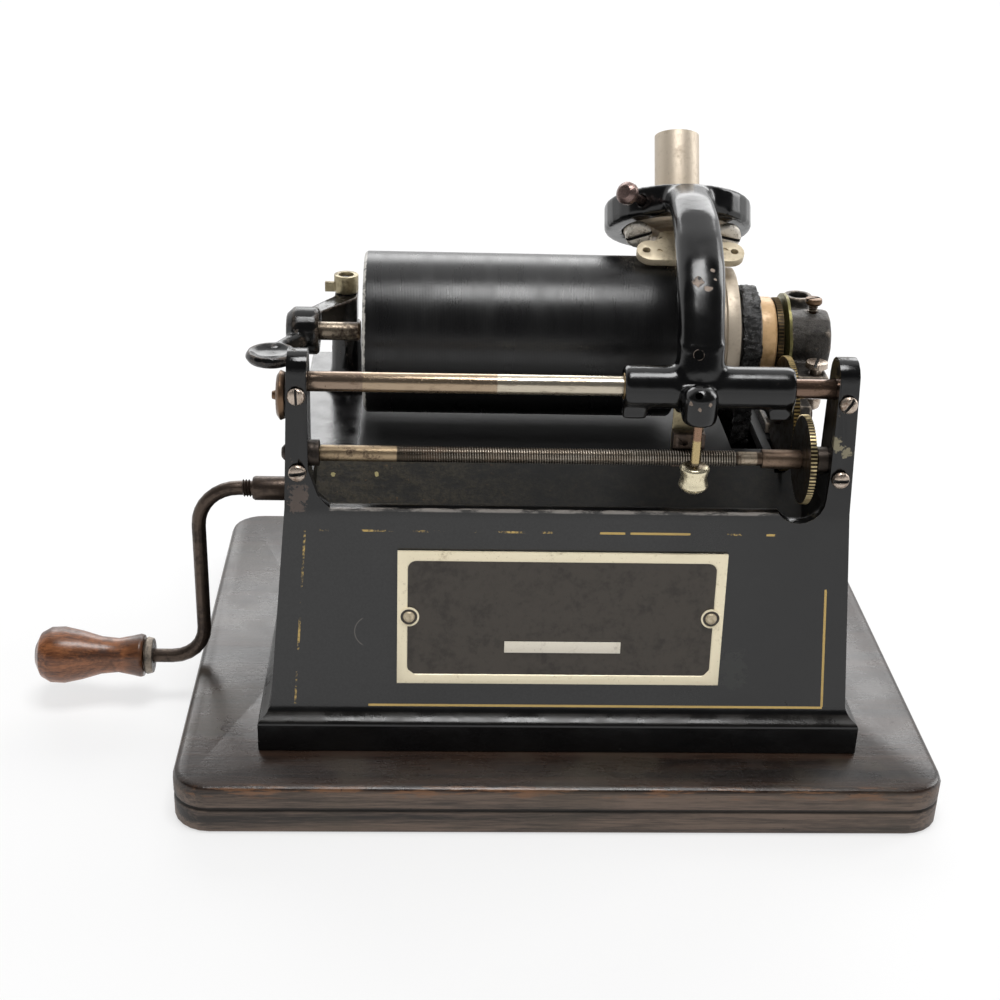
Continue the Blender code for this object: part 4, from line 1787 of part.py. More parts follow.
def shaft_gear_left():
    """X of the gear that drives the governor."""
    return governor_disc_left() - PLATE_THICKNESS * 7


def governor_disc_left():
    """X of the governor's friction disc."""
    return PLATE_RIGHT - PLATE_THICKNESS * 5


def brake_left():
    """X of the brake lever's left face."""
    return governor_disc_left() - FIT


def make_governor(axis, brake_axis, shaft_turn):
    """Governor spindle with its three weights, and the brake lever."""
    centre, shaft = governor_centre(), pulley_shaft_centre()
    place = along_x(0, *centre)
    turn = mesh_turn(GOVERNOR_TEETH, centre, shaft, SHAFT_TEETH, shaft_turn)
    radius = SMALL_ARBOR_RADIUS
    left, right = PLATE_LEFT - EDGE, PLATE_RIGHT + PLATE_THICKNESS + EDGE
    collar = shaft_gear_left() + PLATE_THICKNESS * 2
    disc, thin = governor_disc_left(), PLATE_THICKNESS * 0.6
    hub, ball = radius * 1.8, radius * 1.5
    shape = bmesh.new()
    turned(shape, place,
           [(left, 0), (left, radius), (collar, radius), (collar, hub),
            (collar + PLATE_THICKNESS, hub), (collar + PLATE_THICKNESS, radius),
            (disc - PLATE_THICKNESS, radius), (disc - PLATE_THICKNESS, hub), (disc, hub),
            (disc, GOVERNOR_DISC_RADIUS), (disc + thin, GOVERNOR_DISC_RADIUS),
            (disc + thin, radius), (right, radius), (right, 0)], 24)
    governor = piece("governor", shape, "brass", axis)
    shape = bmesh.new()
    outline = turned_outline(gear_outline(GOVERNOR_TEETH, MOTOR_MODULE), turn)
    plate(shape, along_x(shaft_gear_left(), *centre), [outline], 0, PLATE_THICKNESS)
    combine(governor, shape, "UNION")
    outline = governor_weight_outline(collar + EDGE / 2, disc - EDGE / 2, hub + FIT, ball)
    stand = Matrix(((0, 0, 1, 0), (0, 1, 0, 0), (1, 0, 0, 0), (0, 0, 0, 1)))
    for i in range(3):
        spin = Matrix.Rotation(2 * math.pi * i / 3, 4, "Z")
        shape = bmesh.new()
        plate(shape, place @ spin @ stand, [outline], -ball / 2, ball / 2)
        combine(governor, shape, "UNION")
    pivot_y, pivot_z = brake_pivot()
    boss = PIVOT_RADIUS * 2.2
    pad_z = centre[1] + GOVERNOR_DISC_RADIUS + FIT
    outline = arc((pivot_y, pivot_z), boss, math.radians(-90), math.radians(90), 6)
    outline += [(centre[0] - boss, pivot_z + boss * 0.4), (centre[0] - boss, pad_z),
                (centre[0] + boss, pad_z), (centre[0] + boss, pivot_z - boss * 0.4)]
    shape = bmesh.new()
    plate(shape, along_x(brake_left(), 0, 0),
          [outline, circle((pivot_y, pivot_z), PIVOT_RADIUS + FIT, 8)], 0, thin + FIT * 2)
    piece("brake_lever", shape, "steel", brake_axis)


def belt_loop(offset):
    """Outline of the belt's inner face, pushed out by the offset."""
    top = Vector((MANDREL_Y, MANDREL_Z))
    low = Vector(pulley_shaft_centre())
    big = BELT_SEAT_RADIUS + FIT + offset
    small = MOTOR_PULLEY_RADIUS + FIT + offset
    line = top - low
    heading = math.atan2(line.y, line.x)
    spread = math.acos((small - big) / line.length)
    loop = arc(top, big, heading - spread, heading + spread, 20)
    loop += arc(low, small, heading + spread, heading + 2 * math.pi - spread, 12)
    return loop


def make_belt():
    """Flat leather belt round both pulleys."""
    shape = bmesh.new()
    plate(shape, along_x(0, 0, 0), [belt_loop(BELT_THICKNESS), belt_loop(0)],
          BELT_LEFT, BELT_RIGHT)
    piece("drive_belt", shape, "leather")


def main():
    """Clear the scene and build the whole machine."""
    for old in list(bpy.data.objects):
        bpy.data.objects.remove(old, do_unlink=True)
    idler = idler_centre()
    head = ring_place() @ Vector((0, 0, RING_HEIGHT / 2))
    hinge = weight_place().translation
    mandrel_axis = axis_empty("axis_mandrel", 0, MANDREL_Y, MANDREL_Z)
    idler_axis = axis_empty("axis_idler", GEAR_LEFT, idler.x, idler.y)
    screw_axis = axis_empty("axis_feed_screw", 0, ROD_Y, SCREW_Z)
    gate_axis = axis_empty("axis_gate", GATE_X, GATE_Y, POST_TOP)
    slide_axis = axis_empty("axis_slide", ARM_X, ROD_Y, ROD_Z)
    carriage_axis = axis_empty("axis_carriage", ARM_X, ROD_Y, ROD_Z)
    knob_axis = axis_empty("axis_knob", LUG_X, LUG_Y, KNOB_TOP)
    clamp_axis = axis_empty("axis_clamp", *head)
    weight_axis = axis_empty("axis_weight", *hinge)
    speed_axis = axis_empty("axis_speed", SPEED_SCREW_X, SPEED_SCREW_Y, SPEED_LUG_BOTTOM)
    crank_axis = axis_empty("axis_crank", 0, CRANK_Y, CRANK_Z)
    handle_axis = axis_empty("axis_handle", HANDLE_RIGHT, CRANK_Y, CRANK_Z - CRANK_THROW)
    barrel_axis = axis_empty("axis_barrel", 0, BARREL_Y, BARREL_Z)
    winding_axis = axis_empty("axis_winding", 0, BARREL_Y, BARREL_Z)
    pawl_axis = axis_empty("axis_pawl", 0, *pawl_pivot())
    second_axis = axis_empty("axis_second", 0, *second_centre())
    shaft_axis = axis_empty("axis_belt_shaft", 0, *pulley_shaft_centre())
    governor_axis = axis_empty("axis_governor", 0, *governor_centre())
    brake_axis = axis_empty("axis_brake", 0, *brake_pivot())

    make_board()
    make_board_screws()
    make_body()
    make_name_plate()
    make_ear_fittings()
    make_mandrel(mandrel_axis)
    make_mandrel_drive(mandrel_axis)
    make_feed_train(idler_axis, screw_axis)
    make_bracket()
    make_bracket_fittings(speed_axis)
    make_gate_post()
    make_gate(gate_axis)
    make_carriage(carriage_axis)
    make_carriage_fittings(slide_axis, carriage_axis, knob_axis, clamp_axis)
    make_reproducer(carriage_axis, weight_axis)
    make_crank(crank_axis)
    make_handle(handle_axis)
    make_motor_frame()
    make_winding(winding_axis, pawl_axis)
    make_barrel(barrel_axis)
    shaft_turn = make_wheels(second_axis, shaft_axis)
    make_governor(governor_axis, brake_axis, shaft_turn)
    make_belt()


main()
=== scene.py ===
"""Looks of an open spring-driven cylinder phonograph.

Every CAD node gets a smooth skin with rounded edges and its own worn finish. The small trim that the solids
leave out, such as rivets, screw slots and the feed screw's thread, is modelled here, on the same bodies.
"""

import json
import math

import bpy
from mathutils import Matrix, Vector

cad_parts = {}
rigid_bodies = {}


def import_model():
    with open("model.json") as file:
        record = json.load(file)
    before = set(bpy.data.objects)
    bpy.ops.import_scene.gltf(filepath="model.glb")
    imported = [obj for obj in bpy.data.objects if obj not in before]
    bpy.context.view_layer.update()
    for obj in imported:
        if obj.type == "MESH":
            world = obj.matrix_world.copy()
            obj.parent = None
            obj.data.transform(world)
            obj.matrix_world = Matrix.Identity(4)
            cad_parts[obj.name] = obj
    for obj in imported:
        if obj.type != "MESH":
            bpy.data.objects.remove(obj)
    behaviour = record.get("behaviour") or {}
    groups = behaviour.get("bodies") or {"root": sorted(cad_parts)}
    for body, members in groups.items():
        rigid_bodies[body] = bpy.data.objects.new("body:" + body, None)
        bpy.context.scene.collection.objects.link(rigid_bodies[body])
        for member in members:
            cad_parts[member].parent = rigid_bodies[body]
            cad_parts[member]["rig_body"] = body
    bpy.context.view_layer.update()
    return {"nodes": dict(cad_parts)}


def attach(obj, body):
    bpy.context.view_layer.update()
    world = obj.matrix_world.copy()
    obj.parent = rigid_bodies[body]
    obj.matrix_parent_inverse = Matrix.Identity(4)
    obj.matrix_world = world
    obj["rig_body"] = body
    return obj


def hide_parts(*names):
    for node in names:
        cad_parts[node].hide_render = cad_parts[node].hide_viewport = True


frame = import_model()

# Rounded edges, in metres
FINE_EDGE = 0.00018
EDGE = 0.00035
CAST_EDGE = 0.0007
WELD = 0.00001
FLAT = math.radians(0.5)
SMOOTH = math.radians(34)
SHARP = math.radians(30)
FULL_TURN = 2 * math.pi

# The body's leaning front face, as (Y, Z) at its lower and upper edges
FACE_LOW = (-0.0740, 0.0310)
FACE_HIGH = (-0.0677, 0.1026)
FACE_LEAN = math.atan2(FACE_HIGH[0] - FACE_LOW[0], FACE_HIGH[1] - FACE_LOW[1])
FACE_OUT = Vector((0, -math.cos(FACE_LEAN), math.sin(FACE_LEAN)))

# Axes that wheels and rods turn on, as (Y, Z)
MANDREL_AXIS = (0.0050, 0.1354)
SCREW_AXIS = (-0.0580, 0.1174)
IDLER_AXIS = (-0.024474, 0.11931)
CRANK_AXIS = (-0.0200, 0.0866)

# The reproducer ring's centre, and the way its upper side faces
RING_CENTRE = (0.0420, 0.0260, 0.1670)
RING_LEAN = math.radians(32)
RING_OUT = Vector((0, math.sin(RING_LEAN), math.cos(RING_LEAN)))
RING_HALF = 0.0050

# The gears' tip radii, and how far below the tips the painted shade between the teeth reaches
MANDREL_TIP = 0.01443
IDLER_TIP = 0.0195
FEED_TIP = 0.01443
TOOTH_SHADE_DEPTH = 0.00040

# The thread of the feed screw
THREAD_LEFT = -0.0545
THREAD_RIGHT = 0.0541
THREAD_PITCH = 0.00082
THREAD_ROOT = 0.00225
THREAD_CREST = 0.00260
THREAD_CORE_SHARE = 0.84


# Finishes


def open_tree(owner):
    """Makes the owner's node tree the one that the functions below add their nodes to."""
    global tree
    owner.use_nodes = True
    tree = owner.node_tree


def new_finish(name):
    """A new material, with its node tree open."""
    made = bpy.data.materials.new(name)
    open_tree(made)
    return made


def feed(node, **values):
    """Links other nodes' outputs into the node's inputs, or sets their values. A key is a name or _number."""
    for key, value in values.items():
        socket = node.inputs[int(key[1:])] if key[1:].isdigit() else node.inputs[key.replace("_", " ")]
        if isinstance(value, bpy.types.NodeSocket):
            tree.links.new(value, socket)
        else:
            socket.default_value = value


def new_node(kind, settings=None, **values):
    """A new node with its settings and inputs."""
    node = tree.nodes.new(f"ShaderNode{kind}")
    for key, value in (settings or {}).items():
        setattr(node, key, value)
    feed(node, **values)
    return node


def place(stretch=(1, 1, 1), turn=(0, 0, 0)):
    """The piece's own coordinates, stretched for a grain."""
    coordinates = new_node("TexCoord").outputs["Object"]
    return new_node("Mapping", Vector=coordinates, Scale=stretch, Rotation=turn).outputs["Vector"]


def cloud(spot, size, detail=4, sharpness=0.55, warp=0):
    """Noise with spots about this size, from 0 to 1."""
    return new_node("TexNoise", Vector=spot, Scale=1 / size, Detail=detail, Roughness=sharpness,
                    Distortion=warp).outputs["Fac"]


def ramp(value, low, high, start=0, end=1):
    """Smoothly from start to end as the value goes from low to high."""
    return new_node("MapRange", {"interpolation_type": "SMOOTHSTEP"}, Value=value, From_Min=low,
                    From_Max=high, To_Min=start, To_Max=end).outputs["Result"]


def reckon(operation, first, second=0.0):
    """One Math node."""
    return new_node("Math", {"operation": operation}, _0=first, _1=second).outputs["Value"]


def mixed(*parts):
    """The sum of values times their weights, given as pairs."""
    total = reckon("MULTIPLY", *parts[0])
    for value, weight in parts[1:]:
        total = reckon("ADD", total, reckon("MULTIPLY", value, weight))
    return total


def most(*values):
    """The largest of several values."""
    found = values[0]
    for value in values[1:]:
        found = reckon("MAXIMUM", found, value)
    return found


def both(*values):
    """Several shares multiplied together."""
    found = values[0]
    for value in values[1:]:
        found = reckon("MULTIPLY", found, value)
    return found


def blend(share, below, above):
    """A colour between two, by share."""
    below, above = ((*value, 1) if isinstance(value, tuple) else value for value in (below, above))
    return new_node("Mix", {"data_type": "RGBA"}, _0=share, _6=below, _7=above).outputs[2]


def split(spot):
    """The X, Y and Z of a vector."""
    return list(new_node("SeparateXYZ", Vector=spot).outputs)


def window(value, low, high, soft):
    """1 where the value lies between low and high, with soft borders."""
    return both(ramp(value, low - soft, low + soft), ramp(value, high - soft, high + soft, 1, 0))


def away_from(spot, point):
    """How far the surface lies from a point."""
    return new_node("VectorMath", {"operation": "DISTANCE"}, _0=spot, _1=point).outputs["Value"]


def along(spot, origin, direction):
    """How far the surface lies from the origin in one direction."""
    reach = new_node("VectorMath", {"operation": "DOT_PRODUCT"}, _0=spot, _1=direction).outputs["Value"]
    return reckon("SUBTRACT", reach, Vector(origin).dot(Vector(direction)))


def radius_about(spot, axis):
    """Distance from an axis along X through (Y, Z)."""
    x, y, z = split(spot)
    across = reckon("SUBTRACT", y, axis[0])
    up = reckon("SUBTRACT", z, axis[1])
    return reckon("SQRT", reckon("ADD", both(across, across), both(up, up)))


def marks(spot, places, ragged=0.35, grain=0.0014):
    """1 inside ragged spots, each given by its place and its radius."""
    jag = mixed((cloud(spot, grain, 6, 0.7), ragged * 10), (1, -ragged * 5))
    spots = []
    for middle, radius in places:
        reach = reckon("ADD", reckon("DIVIDE", away_from(spot, middle), radius), jag)
        spots.append(ramp(reach, 0.85, 1.05, 1, 0))
    return most(*spots)


JOINT_BLUR = 0.0003


def by_length(value, colours, joints):
    """Colours that change at each joint along a length."""
    found = colours[0]
    for colour, joint in zip(colours[1:], joints):
        found = blend(ramp(value, joint - JOINT_BLUR, joint + JOINT_BLUR), found, colour)
    return found


def coat(made, colour, roughness, height, depth, metallic=0):
    """Gives the new material its colour, its shine, and bumps that deep in metres."""
    bump = new_node("Bump", Height=height, Distance=depth).outputs["Normal"]
    shader = tree.nodes["Principled BSDF"]
    feed(shader, Base_Color=colour, Roughness=roughness, Metallic=metallic, Normal=bump)
    return made


def rubbed_edges(spot, low, high):
    """1 on the outer edges of a densely meshed piece, where hands and rags have worn it."""
    raised = new_node("NewGeometry").outputs["Pointiness"]
    return ramp(mixed((raised, 1), (cloud(spot, 0.003, 6, 0.7), 0.12)), low, high)


RUBBED_IRON = (0.36, 0.30, 0.24)


def metal(name, clean, stained, stain=(0.45, 0.65), polish=(0.3, 0.5), grain=0.004, stretch=(1, 1, 1),
          pits=0.00004, metallic=0.9, worn=None):
    """Bare or plated metal with stains, smears and fine pits. Its clean colour may vary along the piece."""
    made = new_finish(name)
    spot = place()
    blotch = cloud(spot, grain * 2, 8, 0.62)
    smear = cloud(place(stretch), grain / 3, 6, 0.6)
    speck = ramp(cloud(spot, grain / 5, 4, 0.6), 0.64, 0.72)
    share = ramp(mixed((blotch, 0.6), (smear, 0.4)), *stain)
    share = most(share, both(speck, 0.8))
    colour = blend(share, clean(spot) if callable(clean) else clean, stained)
    if worn:
        colour = blend(rubbed_edges(spot, *worn), colour, RUBBED_IRON)
    shine = ramp(mixed((share, 0.5), (smear, 0.5)), 0.1, 0.8, *polish)
    uneven = mixed((smear, 1), (cloud(spot, grain / 8, 4), 1), (speck, -0.6))
    return coat(made, colour, shine, uneven, pits, metallic)


# Black japan, fresh and dusty, and what shows where it has chipped
BLACK = (0.0016, 0.0016, 0.0019)
DUSTY_BLACK = (0.0048, 0.0047, 0.0047)
RUST = (0.055, 0.036, 0.024)
BROWN_IRON = (0.11, 0.08, 0.06)
BARE_IRON = (0.11, 0.095, 0.08)
PALE_IRON = (0.34, 0.32, 0.29)
DIRTY_IRON = (0.17, 0.13, 0.10)
BEIGE_CHIP = (0.46, 0.36, 0.29)
CHIP_SHADE = 0.35


def black_paint(spot, chips, bare=RUST):
    """Black japan, with iron where it has chipped."""
    dust = ramp(cloud(spot, 0.018, 6, 0.65), 0.42, 0.72)
    black = blend(dust, BLACK, DUSTY_BLACK)
    dark_bare = tuple(channel * CHIP_SHADE for channel in bare)
    return blend(chips, black, blend(cloud(spot, 0.0018, 6, 0.7), bare, dark_bare))


def gloss_coat(made, colour, spot, chips, polish, swell):
    """A slightly uneven coat whose shine dulls with haze and chips."""
    shine = ramp(chips, 0, 1, ramp(cloud(spot, 0.012, 8, 0.6), 0.3, 0.75, *polish), 0.55)
    uneven = mixed((cloud(spot, 0.006, 2), 1), (cloud(spot, 0.0008, 3), 0.25), (chips, -1.2))
    return coat(made, colour, shine, uneven, swell)


def cast_japan(name):
    """Glossy black japan over cast iron, chipped in spots and along outer edges."""
    made = new_finish(name)
    spot = place()
    chips = most(ramp(cloud(spot, 0.007, 10, 0.68), 0.64, 0.67), rubbed_edges(spot, 0.565, 0.61))
    return gloss_coat(made, black_paint(spot, chips, BROWN_IRON), spot, chips, (0.12, 0.26), 0.00007)


# The carriage's chips and pits, by place and radius, and its two oil holes, by place, direction and radius
ARM_CHIPS = (
    ((0.0387, -0.0459, 0.1724), 0.0017), ((0.0435, -0.0423, 0.1749), 0.0007),
    ((0.0442, -0.0449, 0.1729), 0.0006), ((0.0411, -0.0479, 0.1708), 0.0010),
    ((0.0424, -0.0479, 0.1708), 0.0008), ((0.0345, -0.0745, 0.1427), 0.0007),
    ((0.0406, -0.0755, 0.1429), 0.0007), ((0.0373, -0.0758, 0.1414), 0.0006),
)
ARM_PITS = (
    ((0.0390, -0.0452, 0.1732), 0.0007), ((0.0370, -0.0180, 0.1885), 0.0006),
    ((0.0412, -0.0230, 0.1870), 0.0007), ((0.0385, -0.0330, 0.1815), 0.0006),
    ((0.0455, -0.0150, 0.1880), 0.0008),
)
ARM_HOLE = ((0.03805, -0.0614, 0.1537), (-0.13, -0.91, 0.38), 0.00155)
LUG_HOLE = ((0.0370, -0.0744, 0.1455), (0, -0.7, 0.7), 0.0012)
HOLE_DEPTH = 0.0030
RIM_REACH = 1.12
RING_INNER = (0.0275, 0.0290)
SCRATCHED_GREY = ((0.03, 0.03, 0.03), (0.20, 0.195, 0.185))
PIT_BLACK = (0.002, 0.002, 0.002)


def arm_japan(name):
    """The carriage's gloss, with its chips, bright hole rims and the ring's scratched grey underside."""
    made = new_finish(name)
    spot = place()
    hole, _, radius = ARM_HOLE
    rim = both(window(away_from(spot, hole), radius, radius * RIM_REACH, 0.0001),
               ramp(cloud(spot, 0.0012, 4), 0.40, 0.60, 0, 0.6))
    scatter = ramp(cloud(spot, 0.005, 10, 0.7), 0.70, 0.73)
    bare = most(marks(spot, ARM_CHIPS, 0.3), scatter, rim)
    painted = blend(bare, black_paint(spot, 0.0), blend(cloud(spot, 0.002, 5), BEIGE_CHIP, RUST))
    painted = blend(marks(spot, ARM_PITS, 0.2), painted, PIT_BLACK)
    below = ramp(along(spot, RING_CENTRE, RING_OUT), -RING_HALF + 0.0002, -RING_HALF + 0.0009, 1, 0)
    under = both(below, ramp(away_from(spot, RING_CENTRE), *RING_INNER, 1, 0))
    scratches = cloud(place((0.15, 1, 1), (0, 0, 0.5)), 0.0016, 6, 0.65)
    painted = blend(under, painted, blend(ramp(scratches, 0.35, 0.65), *SCRATCHED_GREY))
    return gloss_coat(made, painted, spot, most(bare, both(under, 0.5)), (0.13, 0.26), 0.00006)


# The gold pinstripes on the body's front: half width, heights, lean, and from where to where each shows
STRIPE_HALF = 0.00032
STRIPE_BOTTOM = 0.0334
STRIPE_TOP = 0.0952
STRIPE_HALF_WIDTH = 0.0878
STRIPE_LEAN = -0.0668
STRIPE_END = 0.0015
STRIPE_TOP_RUNS = ((0.0098, 0.0188), (0.0196, 0.0395), (0.0635, 0.0670))
STRIPE_FAINT_RUNS = ((-0.0810, -0.0727), (-0.0666, -0.0040), (0.0500, 0.0570))
STRIPE_BOTTOM_RUN = (-0.0640, 0.0890)
STRIPE_RIGHT_RUN = (0.0334, 0.0766)
STRIPE_FAINT = 0.62
GOLD = (0.56, 0.38, 0.11)


def pinstripes(spot):
    """1 on the broken gold lines round the front face."""
    x, y, z = split(spot)
    half_width = mixed((z, STRIPE_LEAN), (1, STRIPE_HALF_WIDTH - STRIPE_BOTTOM * STRIPE_LEAN))
    outside = reckon("SUBTRACT", reckon("ABSOLUTE", x), half_width)

    def line(gap):
        return ramp(reckon("ABSOLUTE", gap), STRIPE_HALF, STRIPE_HALF * 1.6, 1, 0)

    def level(height):
        return line(reckon("SUBTRACT", z, height))

    def shown(*runs):
        return most(*(window(x, *run, STRIPE_END) for run in runs))

    faint = both(shown(*STRIPE_FAINT_RUNS), STRIPE_FAINT)
    top = both(level(STRIPE_TOP), most(shown(*STRIPE_TOP_RUNS), faint))
    bottom = both(level(STRIPE_BOTTOM), ramp(outside, 0, STRIPE_HALF, 1, 0), shown(STRIPE_BOTTOM_RUN))
    side = both(line(outside), window(z, STRIPE_BOTTOM, STRIPE_TOP, STRIPE_HALF))
    right = both(side, ramp(x, -0.001, 0.001), window(z, *STRIPE_RIGHT_RUN, 0.0010))
    left = both(side, ramp(x, -0.001, 0.001, 1, 0), STRIPE_FAINT)
    worn = mixed((cloud(spot, 0.009, 4, 0.6), 0.7), (cloud(spot, 0.0009, 5, 0.7), 0.55))
    in_front = ramp(y, FACE_HIGH[0] + 0.001, FACE_HIGH[0] + 0.002, 1, 0)
    return ramp(reckon("SUBTRACT", both(most(top, bottom, right, left), in_front), worn), -0.02, 0.12)


# The body's paint. Windows are from where to where in Y or Z, or in X where a run is named
SLOPE = (0.0287, 0.0312)
FRONT = (-0.0640, -0.0660)
FRONT_HEIGHT = (0.033, 0.101)
LIP = (-0.0690, -0.0668)
LIP_HEIGHT = (0.1018, 0.1032)
LIP_RUN = (-0.0757, 0.0671)
TROUGH = (-0.0645, -0.0240)
TROUGH_HEIGHT = (0.080, 0.1036)
TROUGH_DIRTY_RUN = (-0.0750, 0.0150)
DECK = (-0.0470, -0.0440)
DECK_BACK = 0.0640
DECK_HEIGHT = (0.078, 0.080)
DECK_RUN = (-0.0700, 0.0880)
OLIVE_CHIPS = (((0.0828, -0.0654, 0.1262), 0.0020), ((0.0868, -0.0659, 0.1235), 0.0016),
               ((0.0845, -0.0657, 0.1248), 0.0012))
BROWN_CHIPS = (((-0.08535, -0.0674, 0.10725), 0.0030), ((-0.0860, -0.0678, 0.1040), 0.0026),
               ((-0.0880, -0.0650, 0.1180), 0.0012))
GREASE_SPOTS = (((0.0800, -0.0450, 0.0910), 0.0022), ((-0.0770, -0.0295, 0.0967), 0.0008),
                ((-0.0622, -0.0294, 0.0969), 0.0008))
FACE_STAINS = (((0.0558, -0.0725, 0.0478), 0.0055),)
SCRATCH_MIDDLE = (-0.0625, -0.0722, 0.0600)
SCRATCH_RADIUS = 0.0055
SCRATCH_WIDTH = 0.0003
SCRATCH_END = -0.0660

STAINED = (0.030, 0.034, 0.026)
# Dust and painted sheen on the skirt's slope
SLOPE_DUST_AND_SHEEN = (0.030, 0.026, 0.022)
# Painted sheen on the front face
FACE_SHEEN_GREY = (0.021, 0.021, 0.021)
SCRATCHED = (0.11, 0.10, 0.09)
OLIVE_CHIP = (0.24, 0.21, 0.13)
BROWN_CHIP = (0.080, 0.056, 0.044)
LIP_WORN = (0.30, 0.275, 0.25)
# Painted shade on the deck under the record
DECK_SHADE_BLACK = (0.0012, 0.0012, 0.0012)
DIRT = ((0.010, 0.008, 0.004), (0.046, 0.036, 0.019))
DIRT_RUST = (0.15, 0.080, 0.025)
GREASE_PALE = (0.42, 0.36, 0.16)


def body_paint(name):
    """The body's japan, with its pinstripes and the dried grease in the trough under the feed screw."""
    made = new_finish(name)
    spot = place()
    x, y, z = split(spot)
    ears = ramp(z, 0.112, 0.150, 0, 0.09)
    skirt = ramp(z, 0.030, 0.024, 0, 0.02)
    chips = ramp(mixed((cloud(spot, 0.006, 10, 0.7), 1), (ears, 1), (skirt, 1)), 0.69, 0.73)
    # Dust and painted sheen: a paler grey-brown band along the slope above the skirt.
    slope = both(window(z, *SLOPE, 0.0004), ramp(cloud(spot, 0.010, 6), 0.3, 0.6, 0.3, 1))
    front = both(ramp(y, *FRONT), window(z, *FRONT_HEIGHT, 0.002))
    # Painted sheen: a fine grey film on the front face, paler towards its left, stands in for the face's
    # sheen.
    haze_and_sheen = both(front, ramp(x, 0.02, 0.08, 1, 0.35), ramp(cloud(spot, 0.0008, 3), 0.3, 0.7, 0.75, 1))
    arc = window(away_from(spot, SCRATCH_MIDDLE), SCRATCH_RADIUS, SCRATCH_RADIUS + SCRATCH_WIDTH,
                 SCRATCH_WIDTH / 2)
    scratch = both(arc, front, ramp(x, SCRATCH_END, SCRATCH_END + 0.001, 1, 0))
    streaks = ramp(cloud(place((0.30, 1, 1)), 0.0024, 6, 0.65), 0.42, 0.58, 0.1, 1)
    lip = both(window(z, *LIP_HEIGHT, 0.0003), window(y, *LIP, 0.0003), window(x, *LIP_RUN, 0.0006))
    # Painted shade: the deck under the record is painted plain black, darker than the japan round it, and
    # dull.
    shaded_deck = both(ramp(x, DECK_RUN[0], DECK_RUN[0] + 0.004), ramp(x, DECK_RUN[1], DECK_RUN[1] + 0.001, 1, 0),
                ramp(y, *DECK), ramp(y, DECK_BACK, DECK_BACK + 0.001, 1, 0), ramp(z, *DECK_HEIGHT))
    in_trough = both(window(y, *TROUGH, 0.001), window(z, *TROUGH_HEIGHT, 0.0006))
    grease = ramp(cloud(place((1, 2.0, 2.0)), 0.012, 8, 0.66), 0.36, 0.62)
    dirty = both(in_trough, ramp(x, *TROUGH_DIRTY_RUN, 1, 0.22), ramp(grease, 0, 1, 0.2, 1))
    dirt = blend(ramp(cloud(spot, 0.0016, 8, 0.75), 0.35, 0.65), *DIRT)
    dirt = blend(both(ramp(cloud(spot, 0.0020, 6, 0.7), 0.62, 0.70), 0.8), dirt, DIRT_RUST)

    colour = black_paint(spot, chips, BARE_IRON)
    for share, shade in (
        (both(marks(spot, FACE_STAINS, 0.5, 0.004), 0.5), STAINED),
        (both(slope, 0.5), SLOPE_DUST_AND_SHEEN),
        (haze_and_sheen, FACE_SHEEN_GREY),
        (scratch, SCRATCHED),
        (marks(spot, OLIVE_CHIPS, 0.4), OLIVE_CHIP),
        (marks(spot, BROWN_CHIPS, 0.4), BROWN_CHIP),
        (pinstripes(spot), GOLD),
        (both(lip, streaks, 0.8), LIP_WORN),
        (shaded_deck, DECK_SHADE_BLACK),
        (dirty, dirt),
        (marks(spot, GREASE_SPOTS, 0.3, 0.002), GREASE_PALE),
    ):
        colour = blend(share, colour, shade)
    gloss = ramp(cloud(spot, 0.014, 8, 0.6), 0.3, 0.75, 0.10, 0.26)
    dull = most(chips, both(in_trough, 0.8), both(slope, 0.5), shaded_deck)
    uneven = mixed((cloud(spot, 0.010, 2), 0.5), (cloud(spot, 0.0007, 4, 0.6), 0.14), (chips, -0.25),
                   (both(dirty, cloud(spot, 0.0010, 5)), 0.35))
    return coat(made, colour, ramp(dull, 0, 1, gloss, 0.62), uneven, 0.00025)


# The body's rounded edges: where the front and its lip end, the notch for the feed gear, and the ears
EDGE_FRONT = (-0.0620, -0.0610)
EDGE_LIP = (0.1012, 0.1036)
EDGE_LIP_END = (0.0600, 0.0640)
NOTCH_MIDDLE = (0.0700, -0.0655, 0.0960)
NOTCH_RADIUS = 0.0105
EAR_FOOT = (0.103, 0.112)
EAR_TOP = (0.1440, 0.1500)
NOTCH_BARE = (0.52, 0.47, 0.37)


def body_edge_paint(name):
    """The body's rounded edges: worn bright along the trough's front lip and round the notch."""
    made = new_finish(name)
    spot = place()
    x, y, z = split(spot)
    in_front = ramp(y, *EDGE_FRONT, 1, 0)
    lip = both(in_front, window(z, *EDGE_LIP, 0.0004), ramp(x, *EDGE_LIP_END, 1, 0))
    notch = both(in_front, ramp(away_from(spot, NOTCH_MIDDLE), NOTCH_RADIUS, NOTCH_RADIUS * 1.2, 1, 0))
    ear_foot = both(window(z, *EAR_FOOT, 0.002), ramp(y, -0.058, -0.060))
    wear = most(both(lip, 0.20), both(notch, 0.24), both(ramp(z, *EAR_TOP), 0.16), both(ear_foot, 0.15))
    chips = ramp(mixed((cloud(place((0.6, 1, 1)), 0.005, 10, 0.7), 1), (wear, 1)), 0.60, 0.66)
    pale = blend(cloud(spot, 0.004, 6, 0.7), PALE_IRON, DIRTY_IRON)
    bare = blend(most(lip, notch), BARE_IRON, pale)
    colour = blend(chips, black_paint(spot, 0.0), blend(both(notch, 0.7), bare, NOTCH_BARE))
    return gloss_coat(made, colour, spot, both(chips, 0.7), (0.08, 0.22), 0.00008)


def grained(run, grain):
    """Long wood grain, from 0 to 1, and its fine pores."""
    lengthwise = place(run)
    bands = cloud(lengthwise, grain * 6, 6, 0.6, 0.6)
    pores = cloud(lengthwise, grain / 2, 6, 0.7)
    return mixed((bands, 0.6), (pores, 0.4)), pores


